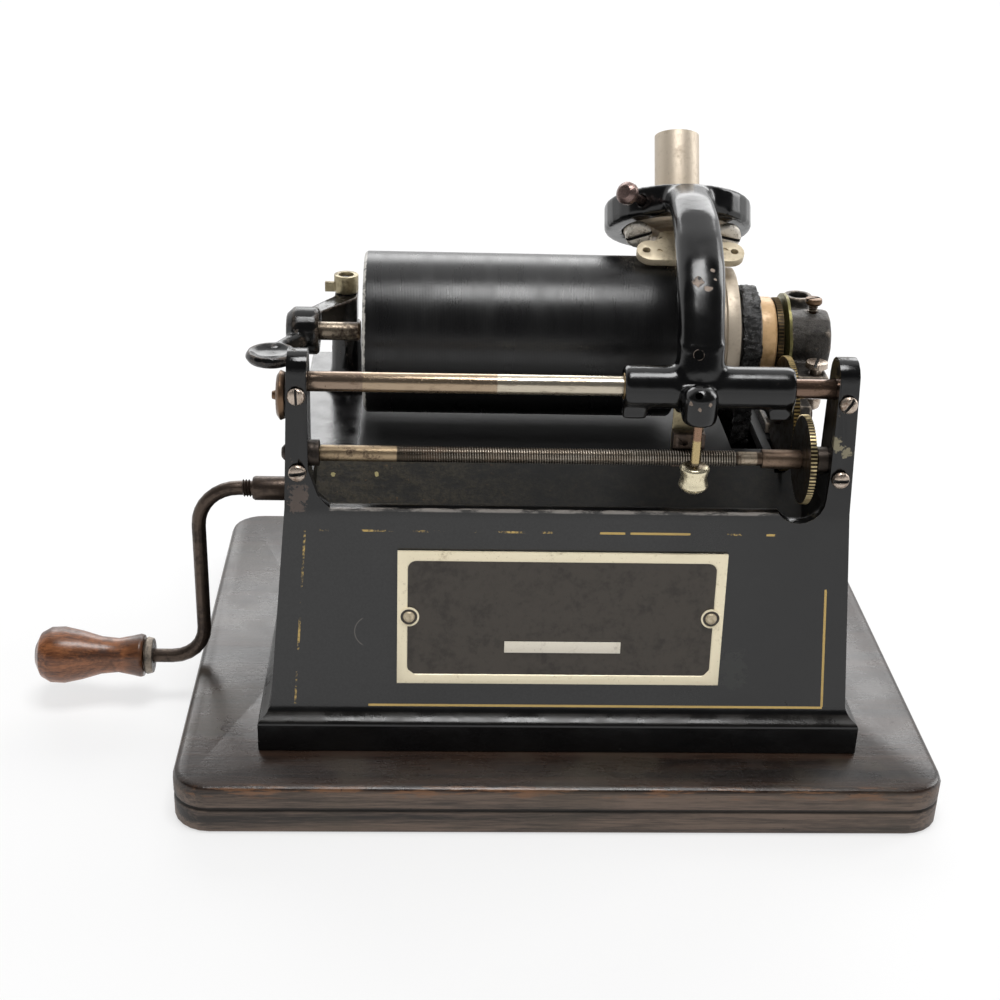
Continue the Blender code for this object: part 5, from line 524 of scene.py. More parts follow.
BOARD_TOP = 0.0177
BOARD_SIDE = (0.0150, 0.0170)
BOARD_EDGE = (-0.0960, -0.0975)
BOARD_GROOVE = (0.0085, 0.0099)
BOARD_DUST = (((-0.1120, -0.0500, 0.0180), 0.0110), ((-0.1190, -0.0640, 0.0180), 0.0070))

VARNISHED = ((0.0060, 0.0040, 0.0032), (0.034, 0.0185, 0.012))
DRY_SIDE = ((0.018, 0.0125, 0.0095), (0.165, 0.115, 0.085))
EDGE_STREAK = (0.20, 0.095, 0.045)
BITE = (0.16, 0.115, 0.08)
BOARD_DIRT = (0.055, 0.044, 0.030)
BOARD_SPECK = (0.006, 0.005, 0.004)
GROOVE_BLACK = (0.003, 0.0025, 0.002)


def board_wood(name):
    """Very dark varnished wood: worn to brown streaks along its top edge, dry and grey low on its sides."""
    made = new_finish(name)
    spot = place()
    x, y, z = split(spot)
    tone, pores = grained((0.05, 1, 1), 0.0014)
    low = ramp(z, *BOARD_SIDE, 1, 0)
    edge = both(window(z, BOARD_SIDE[0] - 0.0010, BOARD_TOP, 0.0008), ramp(y, *BOARD_EDGE))
    streak = ramp(cloud(place((0.12, 1, 1)), 0.0022, 6, 0.7), 0.50, 0.60)
    bites = ramp(cloud(spot, 0.0040, 8, 0.75), 0.70, 0.73)
    dirt = ramp(cloud(spot, 0.0300, 6, 0.6), 0.5, 0.66)
    dusty = both(marks(spot, BOARD_DUST, 0.35, 0.006), cloud(spot, 0.003, 8, 0.7))
    specks = ramp(cloud(spot, 0.0022, 6, 0.7), 0.66, 0.70)
    colour = blend(ramp(tone, 0.36, 0.64), *VARNISHED)
    for share, shade in (
        (low, blend(ramp(tone, 0.38, 0.62), *DRY_SIDE)),
        (both(edge, streak, 0.75), EDGE_STREAK),
        (bites, BITE),
        (most(both(dirt, 0.35), both(dusty, 0.8)), BOARD_DIRT),
        (specks, BOARD_SPECK),
        (both(window(z, *BOARD_GROOVE, 0.0003), 0.8), GROOVE_BLACK),
    ):
        colour = blend(share, colour, shade)
    gloss = ramp(mixed((cloud(spot, 0.02, 8, 0.62), 1), (pores, 0.3)), 0.45, 0.85, 0.23, 0.34)
    dull = most(both(low, 0.7), bites, specks, both(dusty, 0.6))
    uneven = mixed((tone, 1), (bites, -1), (cloud(spot, 0.0012, 4), 0.5))
    return coat(made, colour, ramp(dull, 0, 1, gloss, 0.6), uneven, 0.00012)


BEECH = ((0.060, 0.018, 0.007), (0.34, 0.125, 0.045))
HANDLE_GRIME = (0.030, 0.012, 0.006)
HANDLE_END = (-0.155, -0.149)


def handle_wood(name):
    """A turned beech handle under old red-brown varnish, darker in patches and towards its end."""
    made = new_finish(name)
    spot = place()
    x, y, z = split(spot)
    tone, pores = grained((0.12, 1, 1), 0.0012)
    grime = ramp(cloud(spot, 0.008, 8, 0.65), 0.45, 0.65)
    wood = blend(both(grime, 0.7), blend(ramp(tone, 0.38, 0.62), *BEECH), HANDLE_GRIME)
    wood = blend(ramp(x, *HANDLE_END, 0, 0.6), wood, HANDLE_GRIME)
    feed(tree.nodes["Principled BSDF"], Coat_Weight=0.15, Coat_Roughness=0.2)
    return coat(made, wood, ramp(grime, 0, 1, 0.28, 0.46), tone, 0.00014)


WEB = (0.030, 0.022, 0.014)


def wheel(name, axis, web_radius, tip, teeth=(0.50, 0.37, 0.16)):
    """A brass gear: bright teeth with painted shade in the gaps between them, round a dark, greasy web."""
    made = new_finish(name)
    spot = place()
    out = radius_about(spot, axis)
    # Painted shade: the gaps between the teeth take the web's dark colour.
    shaded_gaps = ramp(out, tip - TOOTH_SHADE_DEPTH, tip - TOOTH_SHADE_DEPTH / 2, 1, 0)
    stain = ramp(cloud(spot, 0.003, 7, 0.65), 0.40, 0.66)
    bright = blend(stain, teeth, tuple(channel * 0.35 for channel in teeth))
    dull = blend(stain, WEB, tuple(channel * 2.2 for channel in WEB))
    rim = ramp(out, web_radius, web_radius * 1.03)
    colour = blend(rim, dull, blend(shaded_gaps, bright, WEB))
    return coat(made, colour, ramp(stain, 0, 1, 0.28, 0.5), cloud(spot, 0.0006, 4), 0.00004, 0.85)


CREST_STEEL = ((0.66, 0.60, 0.52), (0.42, 0.34, 0.26))
ROOT_DIRT = (0.040, 0.032, 0.024)


def thread_metal(name):
    """The feed screw's thread: bright crests over dirty roots."""
    made = new_finish(name)
    spot = place()
    high = ramp(radius_about(spot, SCREW_AXIS), THREAD_ROOT, THREAD_CREST)
    smear = cloud(place((0.3, 1, 1)), 0.006, 6, 0.65)
    colour = blend(high, ROOT_DIRT, blend(ramp(smear, 0.4, 0.65), *CREST_STEEL))
    return coat(made, colour, ramp(high, 0, 1, 0.6, 0.28), smear, 0.00003, 0.85)


GROOVE_PITCH = 0.0005
WHITE_RIM = -0.0659
WAX_BLACK = ((0.0022, 0.0022, 0.0026), (0.0060, 0.0058, 0.0062))
CHALK = (0.50, 0.48, 0.44)


def wax(name):
    """Satin black wax with fine grooves across its length, a few scuffs and a chalky left rim."""
    made = new_finish(name)
    spot = place()
    x, y, z = split(spot)
    haze_and_sheen = cloud(place((1, 0.16, 0.16)), 0.006, 6, 0.6)
    scuff = ramp(cloud(spot, 0.002, 8, 0.75), 0.68, 0.72)
    jagged = mixed((x, 1), (cloud(spot, 0.0018, 6, 0.7), 0.0014))
    rim = both(ramp(jagged, WHITE_RIM, WHITE_RIM + 0.0004, 1, 0),
               ramp(cloud(spot, 0.003, 6), 0.40, 0.5, 0.35, 1))
    colour = blend(rim, blend(haze_and_sheen, *WAX_BLACK), CHALK)
    shine = ramp(mixed((haze_and_sheen, 1), (scuff, 1)), 0.3, 0.9, 0.26, 0.40)
    grooves = reckon("SINE", reckon("MULTIPLY", x, FULL_TURN / GROOVE_PITCH))
    return coat(made, colour, shine, mixed((grooves, 0.12), (haze_and_sheen, 0.6)), 0.00005)


# Where the guide rod's tubes meet, the feed screw's parts change, and the lift rod's metals change
ROD_JOINTS = (-0.0655, -0.0238, 0.0400)
SCREW_JOINTS = (-0.0549, 0.0541, 0.0600, 0.0617)
KNOB_JOINTS = (0.1203, 0.1215, 0.1290)


def rod_colours(spot):
    """The guide rod: pinkish brown, golden brown, pale cream and, right of the carriage, pitted brown."""
    x, y, z = split(spot)
    return by_length(x, ((0.27, 0.20, 0.15), (0.38, 0.29, 0.20), (0.54, 0.48, 0.38), (0.17, 0.11, 0.08)),
                     ROD_JOINTS)


def screw_colours(spot):
    """The feed screw's journal, core, neck, ring and collar."""
    x, y, z = split(spot)
    return by_length(x, ((0.36, 0.27, 0.17), (0.05, 0.04, 0.03), (0.40, 0.33, 0.25), (0.10, 0.07, 0.05),
                         (0.20, 0.14, 0.10)), SCREW_JOINTS)


def knob_colours(spot):
    """The lift knob: a pale brass spool with a dark top, under a brass and copper-brown rod."""
    x, y, z = split(spot)
    return by_length(z, ((0.78, 0.70, 0.50), (0.14, 0.11, 0.07), (0.52, 0.40, 0.20), (0.30, 0.18, 0.12)),
                     KNOB_JOINTS)


FINISHES = {
    "body": body_paint("body_japan"),
    "body_edge": body_edge_paint("body_japan_edge"),
    "carriage": arm_japan("carriage_japan"),
    "worn_cast": cast_japan("worn_japan"),
    "iron": metal("worn_iron", (0.050, 0.045, 0.040), (0.012, 0.011, 0.010), polish=(0.28, 0.5),
                  metallic=0.55, worn=(0.575, 0.63), pits=0.00025, grain=0.003),
    "dark_steel": metal("dark_steel", (0.085, 0.062, 0.048), (0.040, 0.030, 0.025), metallic=0.8),
    "screw_steel": metal("screw_steel", (0.50, 0.42, 0.35), (0.22, 0.15, 0.11), polish=(0.25, 0.45),
                         grain=0.002),
    "frame_steel": metal("frame_steel", (0.30, 0.26, 0.215), (0.12, 0.085, 0.06)),
    "rod": metal("rod_bronze", rod_colours, (0.13, 0.085, 0.055), stain=(0.52, 0.72), polish=(0.18, 0.36),
                 stretch=(0.2, 1, 1)),
    "pin": metal("pin_steel", (0.34, 0.28, 0.21), (0.06, 0.045, 0.035), stain=(0.42, 0.60),
                 polish=(0.25, 0.45)),
    "bush": metal("dark_bush", (0.050, 0.038, 0.030), (0.018, 0.014, 0.012), polish=(0.4, 0.6),
                  metallic=0.7),
    "feed_screw": metal("feed_screw_steel", screw_colours, (0.10, 0.07, 0.05), stain=(0.48, 0.66),
                        grain=0.0022, pits=0.00008),
    "thread": thread_metal("feed_thread"),
    "nickel": metal("worn_nickel", (0.56, 0.48, 0.38), (0.40, 0.33, 0.25), stain=(0.48, 0.72),
                    polish=(0.42, 0.58), metallic=0.45),
    "head_nickel": metal("pitted_nickel", (0.74, 0.69, 0.61), (0.20, 0.16, 0.11), stain=(0.50, 0.62),
                         grain=0.0014, polish=(0.28, 0.5), pits=0.00012, metallic=0.8),
    "weight_nickel": metal("khaki_nickel", (0.62, 0.53, 0.38), (0.36, 0.29, 0.18), stain=(0.5, 0.7),
                           polish=(0.42, 0.6), metallic=0.4),
    "brass": metal("tarnished_brass", (0.36, 0.25, 0.12), (0.12, 0.085, 0.05)),
    "olive": metal("olive_brass", (0.34, 0.29, 0.18), (0.15, 0.12, 0.07), metallic=0.7),
    "flange": metal("olive_flange", (0.20, 0.18, 0.07), (0.09, 0.08, 0.035), metallic=0.7),
    "knob": metal("lift_knob_brass", knob_colours, (0.26, 0.19, 0.11), stain=(0.54, 0.74),
                  polish=(0.25, 0.42), grain=0.0025, pits=0.00002),
    "cap": metal("bronze_cap", (0.16, 0.10, 0.06), (0.07, 0.045, 0.03)),
    "clamp": metal("mauve_steel", (0.22, 0.155, 0.14), (0.11, 0.075, 0.065), polish=(0.25, 0.5),
                   grain=0.002),
    "tan": metal("tan_facing", (0.66, 0.43, 0.22), (0.42, 0.25, 0.10), metallic=0.1, grain=0.006),
    "leather": metal("old_leather", (0.008, 0.008, 0.008), (0.034, 0.033, 0.032), polish=(0.05, 0.28),
                     pits=0.0003, metallic=0, grain=0.003),
    "board": board_wood("board_walnut"),
    "handle": handle_wood("turned_handle"),
    "wax": wax("black_wax"),
    "border": metal("plate_border", (0.95, 0.85, 0.62), (0.55, 0.45, 0.28), stain=(0.54, 0.74),
                    polish=(0.35, 0.55), metallic=0.25, grain=0.003),
    "panel": metal("plate_panel", (0.050, 0.041, 0.032), (0.034, 0.028, 0.023), polish=(0.40, 0.55),
                   metallic=0.15, grain=0.006),
    "strip": metal("pale_strip", (0.84, 0.78, 0.66), (0.55, 0.49, 0.40), stain=(0.52, 0.75),
                   polish=(0.4, 0.5), metallic=0.15),
    "slot": metal("slot_dirt", (0.010, 0.008, 0.007), (0.004, 0.003, 0.003), polish=(0.6, 0.8), metallic=0),
    "mandrel_wheel": wheel("mandrel_wheel", MANDREL_AXIS, 0.0134, MANDREL_TIP, (0.16, 0.11, 0.05)),
    "idler_wheel": wheel("idler_wheel", IDLER_AXIS, 0.0184, IDLER_TIP),
    "feed_wheel": wheel("feed_wheel", SCREW_AXIS, 0.0134, FEED_TIP, (0.62, 0.50, 0.27)),
}


# Shapes


def deselect():
    for each in bpy.context.selected_objects:
        each.select_set(False)


def pick(piece):
    """Makes the piece the only selected object, and active."""
    deselect()
    piece.select_set(True)
    bpy.context.view_layer.objects.active = piece


def apply_modifier(piece, kind, **settings):
    """Adds one modifier to the piece and applies it."""
    pick(piece)
    modifier = piece.modifiers.new(kind.lower(), kind)
    for key, value in settings.items():
        setattr(modifier, key, value)
    bpy.ops.object.modifier_apply(modifier=modifier.name)


def edit(piece, mode, test):
    """Opens the piece in edit mode with only the faces, edges or points that pass the test selected."""
    pick(piece)
    bpy.ops.object.mode_set(mode="EDIT")
    bpy.ops.mesh.select_mode(type=mode)
    bpy.ops.mesh.select_all(action="DESELECT")
    bpy.ops.object.mode_set(mode="OBJECT")
    mesh = piece.data
    for part in {"FACE": mesh.polygons, "EDGE": mesh.edges, "VERT": mesh.vertices}[mode]:
        part.select = test(part)
    bpy.ops.object.mode_set(mode="EDIT")


def done_editing():
    bpy.ops.object.mode_set(mode="OBJECT")


def copy_of(node, name):
    """A new piece with a merged copy of a CAD node's mesh."""
    piece = bpy.data.objects.new(name, frame["nodes"][node].data.copy())
    bpy.context.scene.collection.objects.link(piece)
    piece.data.materials.clear()
    pick(piece)
    bpy.ops.object.mode_set(mode="EDIT")
    bpy.ops.mesh.select_all(action="SELECT")
    bpy.ops.mesh.remove_doubles(threshold=WELD)
    bpy.ops.mesh.dissolve_limited(angle_limit=FLAT)
    done_editing()
    return piece


def body_of(node):
    """The CAD body that a node belongs to."""
    return frame["nodes"][node]["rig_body"]


def finish_piece(piece, finish, body):
    """Gives a final piece its finish, smooth shading and body."""
    if not piece.data.materials:
        piece.data.materials.append(FINISHES[finish])
    pick(piece)
    bpy.ops.object.transform_apply()
    bpy.ops.object.shade_smooth_by_angle(angle=SMOOTH)
    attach(piece, body)
    return piece


def cut(piece, cutter):
    """Cuts one piece out of another."""
    apply_modifier(piece, "BOOLEAN", operation="DIFFERENCE", solver="EXACT", object=cutter)
    bpy.data.objects.remove(cutter)


def turned_to(axis, turn=0.0):
    """A turn that points Z along the axis and X across it, level where it can be."""
    out = Vector(axis).normalized()
    level = Vector((1, 0, 0)) if abs(out.x) < 0.7 else Vector((0, 1, 0))
    across = (level - out * level.dot(out)).normalized()
    frame_turn = Matrix((across, out.cross(across), out)).transposed().to_4x4()
    return frame_turn @ Matrix.Rotation(turn, 4, "Z")


DRILL_PROUD = 0.0006


def drill(piece, centre, axis, radius, depth):
    """Drills a round hole into the piece from just above its surface."""
    deselect()
    bpy.ops.mesh.primitive_cylinder_add(vertices=24, radius=radius, depth=depth + DRILL_PROUD)
    bit = bpy.context.object
    middle = Vector(centre) + Vector(axis).normalized() * (DRILL_PROUD - depth) / 2
    bit.matrix_world = Matrix.Translation(middle) @ turned_to(axis)
    cut(piece, bit)


# Screw heads: the way each faces, its slot's turn in degrees, and the slot's width
LEAN_FRONT = (0, -0.9962, 0.0868)
HEAD_FRONT = (0, -0.9848, -0.1736)
UP = (0, 0, 1)
SLOT_DEPTH = 0.0009
SLOTTED = {
    "ear_screw_upper_left": (LEAN_FRONT, 92, 0.0008),
    "ear_screw_lower_left": (LEAN_FRONT, 8, 0.0010),
    "ear_screw_upper_right": (LEAN_FRONT, 58, 0.0010),
    "ear_screw_lower_right": (LEAN_FRONT, 2, 0.0010),
    "reproducer_screw_left": (HEAD_FRONT, 19, 0.0010),
    "reproducer_screw_right": (HEAD_FRONT, -12, 0.0010),
    "speed_screw": (UP, 70, 0.0010),
    "bearing_cap_screw": (UP, 25, 0.0008),
    "bracket_screw_front": (UP, 40, 0.0008),
    "bracket_screw_back": (UP, 110, 0.0008),
    "motor_screw_left": (UP, 15, 0.0008),
    "motor_screw_right": (UP, 75, 0.0008),
    "base_screw_left": (UP, 60, 0.0010),
    "base_screw_right": (UP, 130, 0.0010),
}
HEAD_TOP = 0.0004
SLOT_LENGTH = 0.0140


def cut_slot(piece, finish, axis, degrees, width):
    """Cuts a dirty screwdriver slot across the head that faces along the axis."""
    out = Vector(axis).normalized()
    heights = [point.co.dot(out) for point in piece.data.vertices]
    top = max(heights)
    rim = [point.co for point, height in zip(piece.data.vertices, heights) if height > top - HEAD_TOP]
    middle = sum(rim, Vector()) / len(rim)
    middle += out * (top - middle.dot(out))
    deselect()
    bpy.ops.mesh.primitive_cube_add(size=1)
    blade = bpy.context.object
    shape = Matrix.Diagonal((SLOT_LENGTH, width, SLOT_DEPTH * 2, 1))
    blade.matrix_world = Matrix.Translation(middle) @ turned_to(out, math.radians(degrees)) @ shape
    for look in (finish, "slot"):
        piece.data.materials.append(FINISHES[look])
        blade.data.materials.append(FINISHES[look])
    for face in blade.data.polygons:
        face.material_index = 1
    cut(piece, blade)


# The nameplate's recess
PLATE_CORNER = 0.0024
PLATE_RECESS_LEAST = 0.0002
PLATE_BORDER_LEAST = 0.0008
PLATE_WALL_MOST = 0.0006
PLATE_SHRINK = (0.9765, 0.944, 0.944)
FACING = 0.9


def finish_name_plate(piece):
    """Rounds the corners of the plate's sunk panel and gives the panel its dark finish."""
    piece.data.materials.append(FINISHES["border"])
    piece.data.materials.append(FINISHES["panel"])
    points = piece.data.vertices
    middle = sum((point.co for point in points), Vector()) / len(points)
    half = max(abs(point.co.x - middle.x) for point in points)

    def sunk(point):
        return abs(point.co.x - middle.x) < half - PLATE_BORDER_LEAST

    def corner_wall(edge):
        first, second = (points[index] for index in edge.vertices)
        run = first.co - second.co
        return sunk(first) and run.length < PLATE_WALL_MOST and abs(run.dot(FACE_OUT)) > run.length * 0.6

    edit(piece, "VERT", sunk)
    bpy.ops.transform.resize(value=PLATE_SHRINK, center_override=middle)
    done_editing()
    edit(piece, "EDGE", corner_wall)
    bpy.ops.mesh.bevel(offset=PLATE_CORNER, segments=6, affect="EDGES")
    done_editing()
    front = max(point.co.dot(FACE_OUT) for point in piece.data.vertices)
    for face in piece.data.polygons:
        height = points[face.vertices[0]].co.dot(FACE_OUT)
        if face.normal.dot(FACE_OUT) > FACING and height < front - PLATE_RECESS_LEAST:
            face.material_index = 1


def thin_thread_core(piece):
    """Turns the feed screw down to its thread's core, so that the wound thread shows."""
    for place_x in (THREAD_LEFT - WELD, THREAD_LEFT + WELD):
        edit(piece, "VERT", lambda point: True)
        bpy.ops.mesh.bisect(plane_co=(place_x, 0, 0), plane_no=(1, 0, 0))
        done_editing()
    edit(piece, "VERT", lambda point: THREAD_LEFT < point.co.x < THREAD_RIGHT + WELD
         and math.hypot(point.co.y - SCREW_AXIS[0], point.co.z - SCREW_AXIS[1]) > THREAD_CREST - WELD)
    thinner = (1, THREAD_CORE_SHARE, THREAD_CORE_SHARE)
    bpy.ops.transform.resize(value=thinner, center_override=(0, *SCREW_AXIS))
    done_editing()


def displace(piece, size, strength, detail, **settings):
    """Pushes the surface in and out by lumps about this size."""
    pattern = bpy.data.textures.new(f"{piece.name}_lumps", "CLOUDS")
    pattern.noise_scale = size
    pattern.noise_depth = detail
    apply_modifier(piece, "DISPLACE", texture=pattern, texture_coords="LOCAL", strength=strength, **settings)


# The belt's mesh, its lumps and cracks by size and height, and how much of them goes inwards
BELT_GRAIN = 0.00045
BELT_LUMPS = ((0.0055, 0.0022), (0.001925, 0.00132))
BELT_INWARDS = 0.60
FLANGE_WAVE = (0.012, 0.0012)


def crumple_belt(piece):
    """Breaks the old leather up into lumps and cracks."""
    apply_modifier(piece, "REMESH", mode="VOXEL", voxel_size=BELT_GRAIN)
    for size, height in BELT_LUMPS:
        displace(piece, size, height, 3, mid_level=BELT_INWARDS)


def warp_flange(piece):
    """Bends the thin flange out of flat."""
    apply_modifier(piece, "SUBSURF", subdivision_type="SIMPLE", levels=1, render_levels=1)
    displace(piece, *FLANGE_WAVE, 2, direction="X")


# The holes drilled into a piece: place, direction, radius and depth
HOLES = {
    "reproducer_weight": (((0.0328, 0.0015, 0.1675), (0, -0.4, 0.92), 0.0009, 0.0005),
                          ((0.05515, 0.0026, 0.1680), (0, -0.4, 0.92), 0.0009, 0.0005)),
    "half_nut": (((0.0368, -0.0573, 0.1222), (0, -1, 0), 0.0010, 0.0016),),
    "carriage_arm": ((*ARM_HOLE, HOLE_DEPTH), (*LUG_HOLE, HOLE_DEPTH)),
}


# The cove and bead round the body's skirt, and how large a face of the body is shaded flat
COVE_HEIGHT = 0.0310
COVE = 0.0030
BEAD_HEIGHT = 0.0287
BEAD = 0.0011
FLAT_FACE_LEAST = 0.0004


def round_body(piece):
    """Rounds the edge of the body's skirt and the hollow above it."""
    for height, width, steps in ((COVE_HEIGHT, COVE, 5), (BEAD_HEIGHT, BEAD, 4)):
        level = {point.index for point in piece.data.vertices if abs(point.co.z - height) < WELD}
        edit(piece, "EDGE", lambda edge: level.issuperset(edge.vertices))
        bpy.ops.mesh.bevel(offset=width, segments=steps, affect="EDGES", clamp_overlap=False)
        done_editing()


RESHAPED = {
    "body_casting": round_body,
    "feed_screw": thin_thread_core,
    "drive_belt": crumple_belt,
    "mandrel_flange": warp_flange,
}


def skin(node, finish, edge=EDGE, edge_finish=None, segments=2):
    """A smooth copy of a CAD node with rounded edges, which stands for it."""
    piece = copy_of(node, node + "_skin")
    if node == "name_plate":
        finish_name_plate(piece)
    if node in RESHAPED:
        RESHAPED[node](piece)
    if edge_finish:
        piece.data.materials.append(FINISHES[finish])
        piece.data.materials.append(FINISHES[edge_finish])
    if edge:
        apply_modifier(piece, "BEVEL", width=edge, segments=segments, limit_method="ANGLE",
                       angle_limit=SHARP, material=1 if edge_finish else -1, use_clamp_overlap=True)
    for hole in HOLES.get(node, ()):
        drill(piece, *hole)
    if node in SLOTTED:
        cut_slot(piece, finish, *SLOTTED[node])
    finish_piece(piece, finish, body_of(node))
    if node == "body_casting":
        edit(piece, "FACE", lambda face: face.area > FLAT_FACE_LEAST)
        bpy.ops.mesh.faces_shade_flat()
        done_editing()
    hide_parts(node)


# The carriage's arm, as far as its ring: its half width, back end and foot, over the top of its sleeve
ARM_REACH = 0.0145
ARM_BACK = 0.010
ARM_FOOT = 0.1560
SLEEVE_TOP = 0.1540


def in_arm(point):
    """The carriage's arm, and where it flows into its ring."""
    return abs(point.co.x - RING_CENTRE[0]) < ARM_REACH and point.co.y < ARM_BACK and point.co.z > ARM_FOOT


def in_sleeve(point):
    """The carriage's sleeve and lug."""
    return point.co.z < SLEEVE_TOP


# The parts of a cast piece that are melted rounder than the rest, and by how many passes
MELTED = {"carriage_arm": ((in_arm, 60), (in_sleeve, 16))}


def cast_skin(node, finish, grain, passes):
    """A copy of a cast node with every edge and inner corner melted round, some places more than others."""
    piece = copy_of(node, node + "_skin")
    apply_modifier(piece, "REMESH", mode="VOXEL", voxel_size=grain)
    apply_modifier(piece, "SMOOTH", factor=0.5, iterations=passes)
    for test, more in MELTED.get(node, ()):
        edit(piece, "VERT", test)
        bpy.ops.mesh.vertices_smooth(factor=0.5, repeat=more)
        done_editing()
    for hole in HOLES.get(node, ()):
        drill(piece, *hole)
    finish_piece(piece, finish, body_of(node))
    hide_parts(node)


# The finish and edge of the nodes' skins
SKINS = (
    ("board", EDGE, "base_board"),
    ("wax", EDGE, "wax_record"),
    ("screw_steel", FINE_EDGE, "base_screw_left base_screw_right ear_screw_upper_left ear_screw_upper_right "
     "ear_screw_lower_left ear_screw_lower_right speed_screw"),
    ("bush", FINE_EDGE, "feed_bush_left feed_bush_right"),
    ("rod", FINE_EDGE, "guide_rod"),
    ("cap", FINE_EDGE, "rod_end_cap bearing_cap_screw"),
    ("dark_steel", FINE_EDGE, "idler_stud crank_bush mandrel_shaft crank ratchet_pawl half_nut brake_lever"),
    ("dark_steel", 0, "mainspring winding_arbor"),
    ("iron", FINE_EDGE, "bracket_screw_front bracket_screw_back motor_screw_left motor_screw_right "
     "mandrel_pulley handle_ferrule"),
    ("olive", FINE_EDGE, "gate_ring half_nut_spring"),
    ("frame_steel", FINE_EDGE, "motor_frame"),
    ("leather", 0, "drive_belt"),
    ("nickel", FINE_EDGE, "mandrel reproducer_body"),
    ("tan", FINE_EDGE, "pulley_drum"),
    ("mandrel_wheel", 0, "mandrel_gear"),
    ("flange", 0, "mandrel_flange"),
    ("idler_wheel", 0, "idler_gear"),
    ("feed_screw", FINE_EDGE, "feed_screw"),
    ("feed_wheel", 0, "feed_gear"),
    ("brass", FINE_EDGE, "spring_barrel governor carriage_bush"),
    ("brass", 0, "belt_shaft second_wheel great_wheel"),
    ("handle", FINE_EDGE, "crank_handle"),
    ("head_nickel", FINE_EDGE, "reproducer_screw_left reproducer_screw_right"),
    ("weight_nickel", FINE_EDGE, "reproducer_weight"),
    ("knob", FINE_EDGE, "lift_knob"),
    ("clamp", FINE_EDGE, "clamp_screw"),
    ("pin", FINE_EDGE, "gate_pin"),
    ("border", FINE_EDGE / 2, "name_plate"),
)

# The finish, mesh and passes of the cast pieces' skins
CAST_SKINS = {
    "carriage_arm": ("carriage", 0.0006, 10),
    "gate_arm": ("worn_cast", 0.0005, 8),
    "gate_post": ("worn_cast", 0.0005, 5),
    "bearing_bracket": ("iron", 0.0006, 8),
}
for finish_name, edge_width, nodes in SKINS:
    for node_name in nodes.split():
        skin(node_name, finish_name, edge_width)
for node_name, (finish_name, voxel, rounds) in CAST_SKINS.items():
    cast_skin(node_name, finish_name, voxel, rounds)
skin("body_casting", "body", CAST_EDGE, "body_edge", 3)


# Small trim

PEN = 0.001
TURNED_STEPS = 32


def drawn(name, centre, points):
    """An outline through the points, drawn point by point; its origin is the centre."""
    deselect()
    bpy.ops.mesh.primitive_plane_add(size=PEN, location=centre)
    piece = bpy.context.object
    piece.name = name
    start = piece.matrix_world @ piece.data.vertices[0].co
    edit(piece, "VERT", lambda point: point.index > 0)
    bpy.ops.mesh.delete(type="VERT")
    bpy.ops.mesh.select_all(action="SELECT")
    bpy.ops.transform.translate(value=Vector(centre) + points[0] - start)
    for before, after in zip(points, points[1:]):
        bpy.ops.mesh.extrude_vertices_move(TRANSFORM_OT_translate={"value": after - before})
    done_editing()
    return piece


def turned_piece(name, centre, axis, profile, finish, body):
    """A turned piece: a profile of (radius, height) spun about an axis through its centre."""
    turn = turned_to(axis)
    points = [turn @ Vector((radius, 0, height)) for radius, height in profile]
    piece = drawn(name, centre, points)
    edit(piece, "VERT", lambda point: True)
    bpy.ops.mesh.spin(steps=TURNED_STEPS, angle=FULL_TURN, center=centre, axis=Vector(axis).normalized())
    bpy.ops.mesh.select_all(action="SELECT")
    bpy.ops.mesh.remove_doubles(threshold=WELD)
    bpy.ops.mesh.normals_make_consistent(inside=False)
    done_editing()
    return finish_piece(piece, finish, body)


def wound_thread(name, centre, axis, length, root, crest, pitch, finish, body, steps):
    """A screw thread wound with a Screw modifier along X or Z, from its centre on."""
    direction = Vector((axis == "X", 0, axis == "Z"))
    out = Vector((0, 1, 0))
    points = [out * root, out * crest + direction * pitch / 2, out * root + direction * pitch]
    piece = drawn(name, centre, points)
    turns = max(1, round(length / pitch) - 1)
    apply_modifier(piece, "SCREW", axis=axis, screw_offset=pitch, iterations=turns, steps=steps,
                   render_steps=steps, use_merge_vertices=True, merge_threshold=WELD)
    edit(piece, "VERT", lambda point: True)
    bpy.ops.mesh.remove_doubles(threshold=WELD)
    bpy.ops.mesh.select_all(action="DESELECT")
    bpy.ops.mesh.select_non_manifold(extend=False)
    bpy.ops.mesh.fill()
    bpy.ops.mesh.select_all(action="SELECT")
    bpy.ops.mesh.normals_make_consistent(inside=False)
    done_editing()
    return finish_piece(piece, finish, body)


# Threads: where each starts, its axis, length, root, crest, pitch, finish, and the node it rides with
THREADS = {
    "feed_screw_thread": ((THREAD_LEFT, *SCREW_AXIS), "X", THREAD_RIGHT - THREAD_LEFT, THREAD_ROOT,
                          THREAD_CREST, THREAD_PITCH, "thread", "feed_screw", 14),
    "crank_thread": ((-0.1092, *CRANK_AXIS), "X", 0.0040, 0.0024, 0.0031, 0.0010, "dark_steel", "crank", 20),
    "cap_screw_thread": ((0.08835, MANDREL_AXIS[0], 0.1455), "Z", 0.0030, 0.0013, 0.00175, 0.0008, "iron",
                         "bearing_cap_screw", 20),
}
for thread_name, (*thread, carrier, turn_steps) in THREADS.items():
    wound_thread(thread_name, *thread, body_of(carrier), turn_steps)

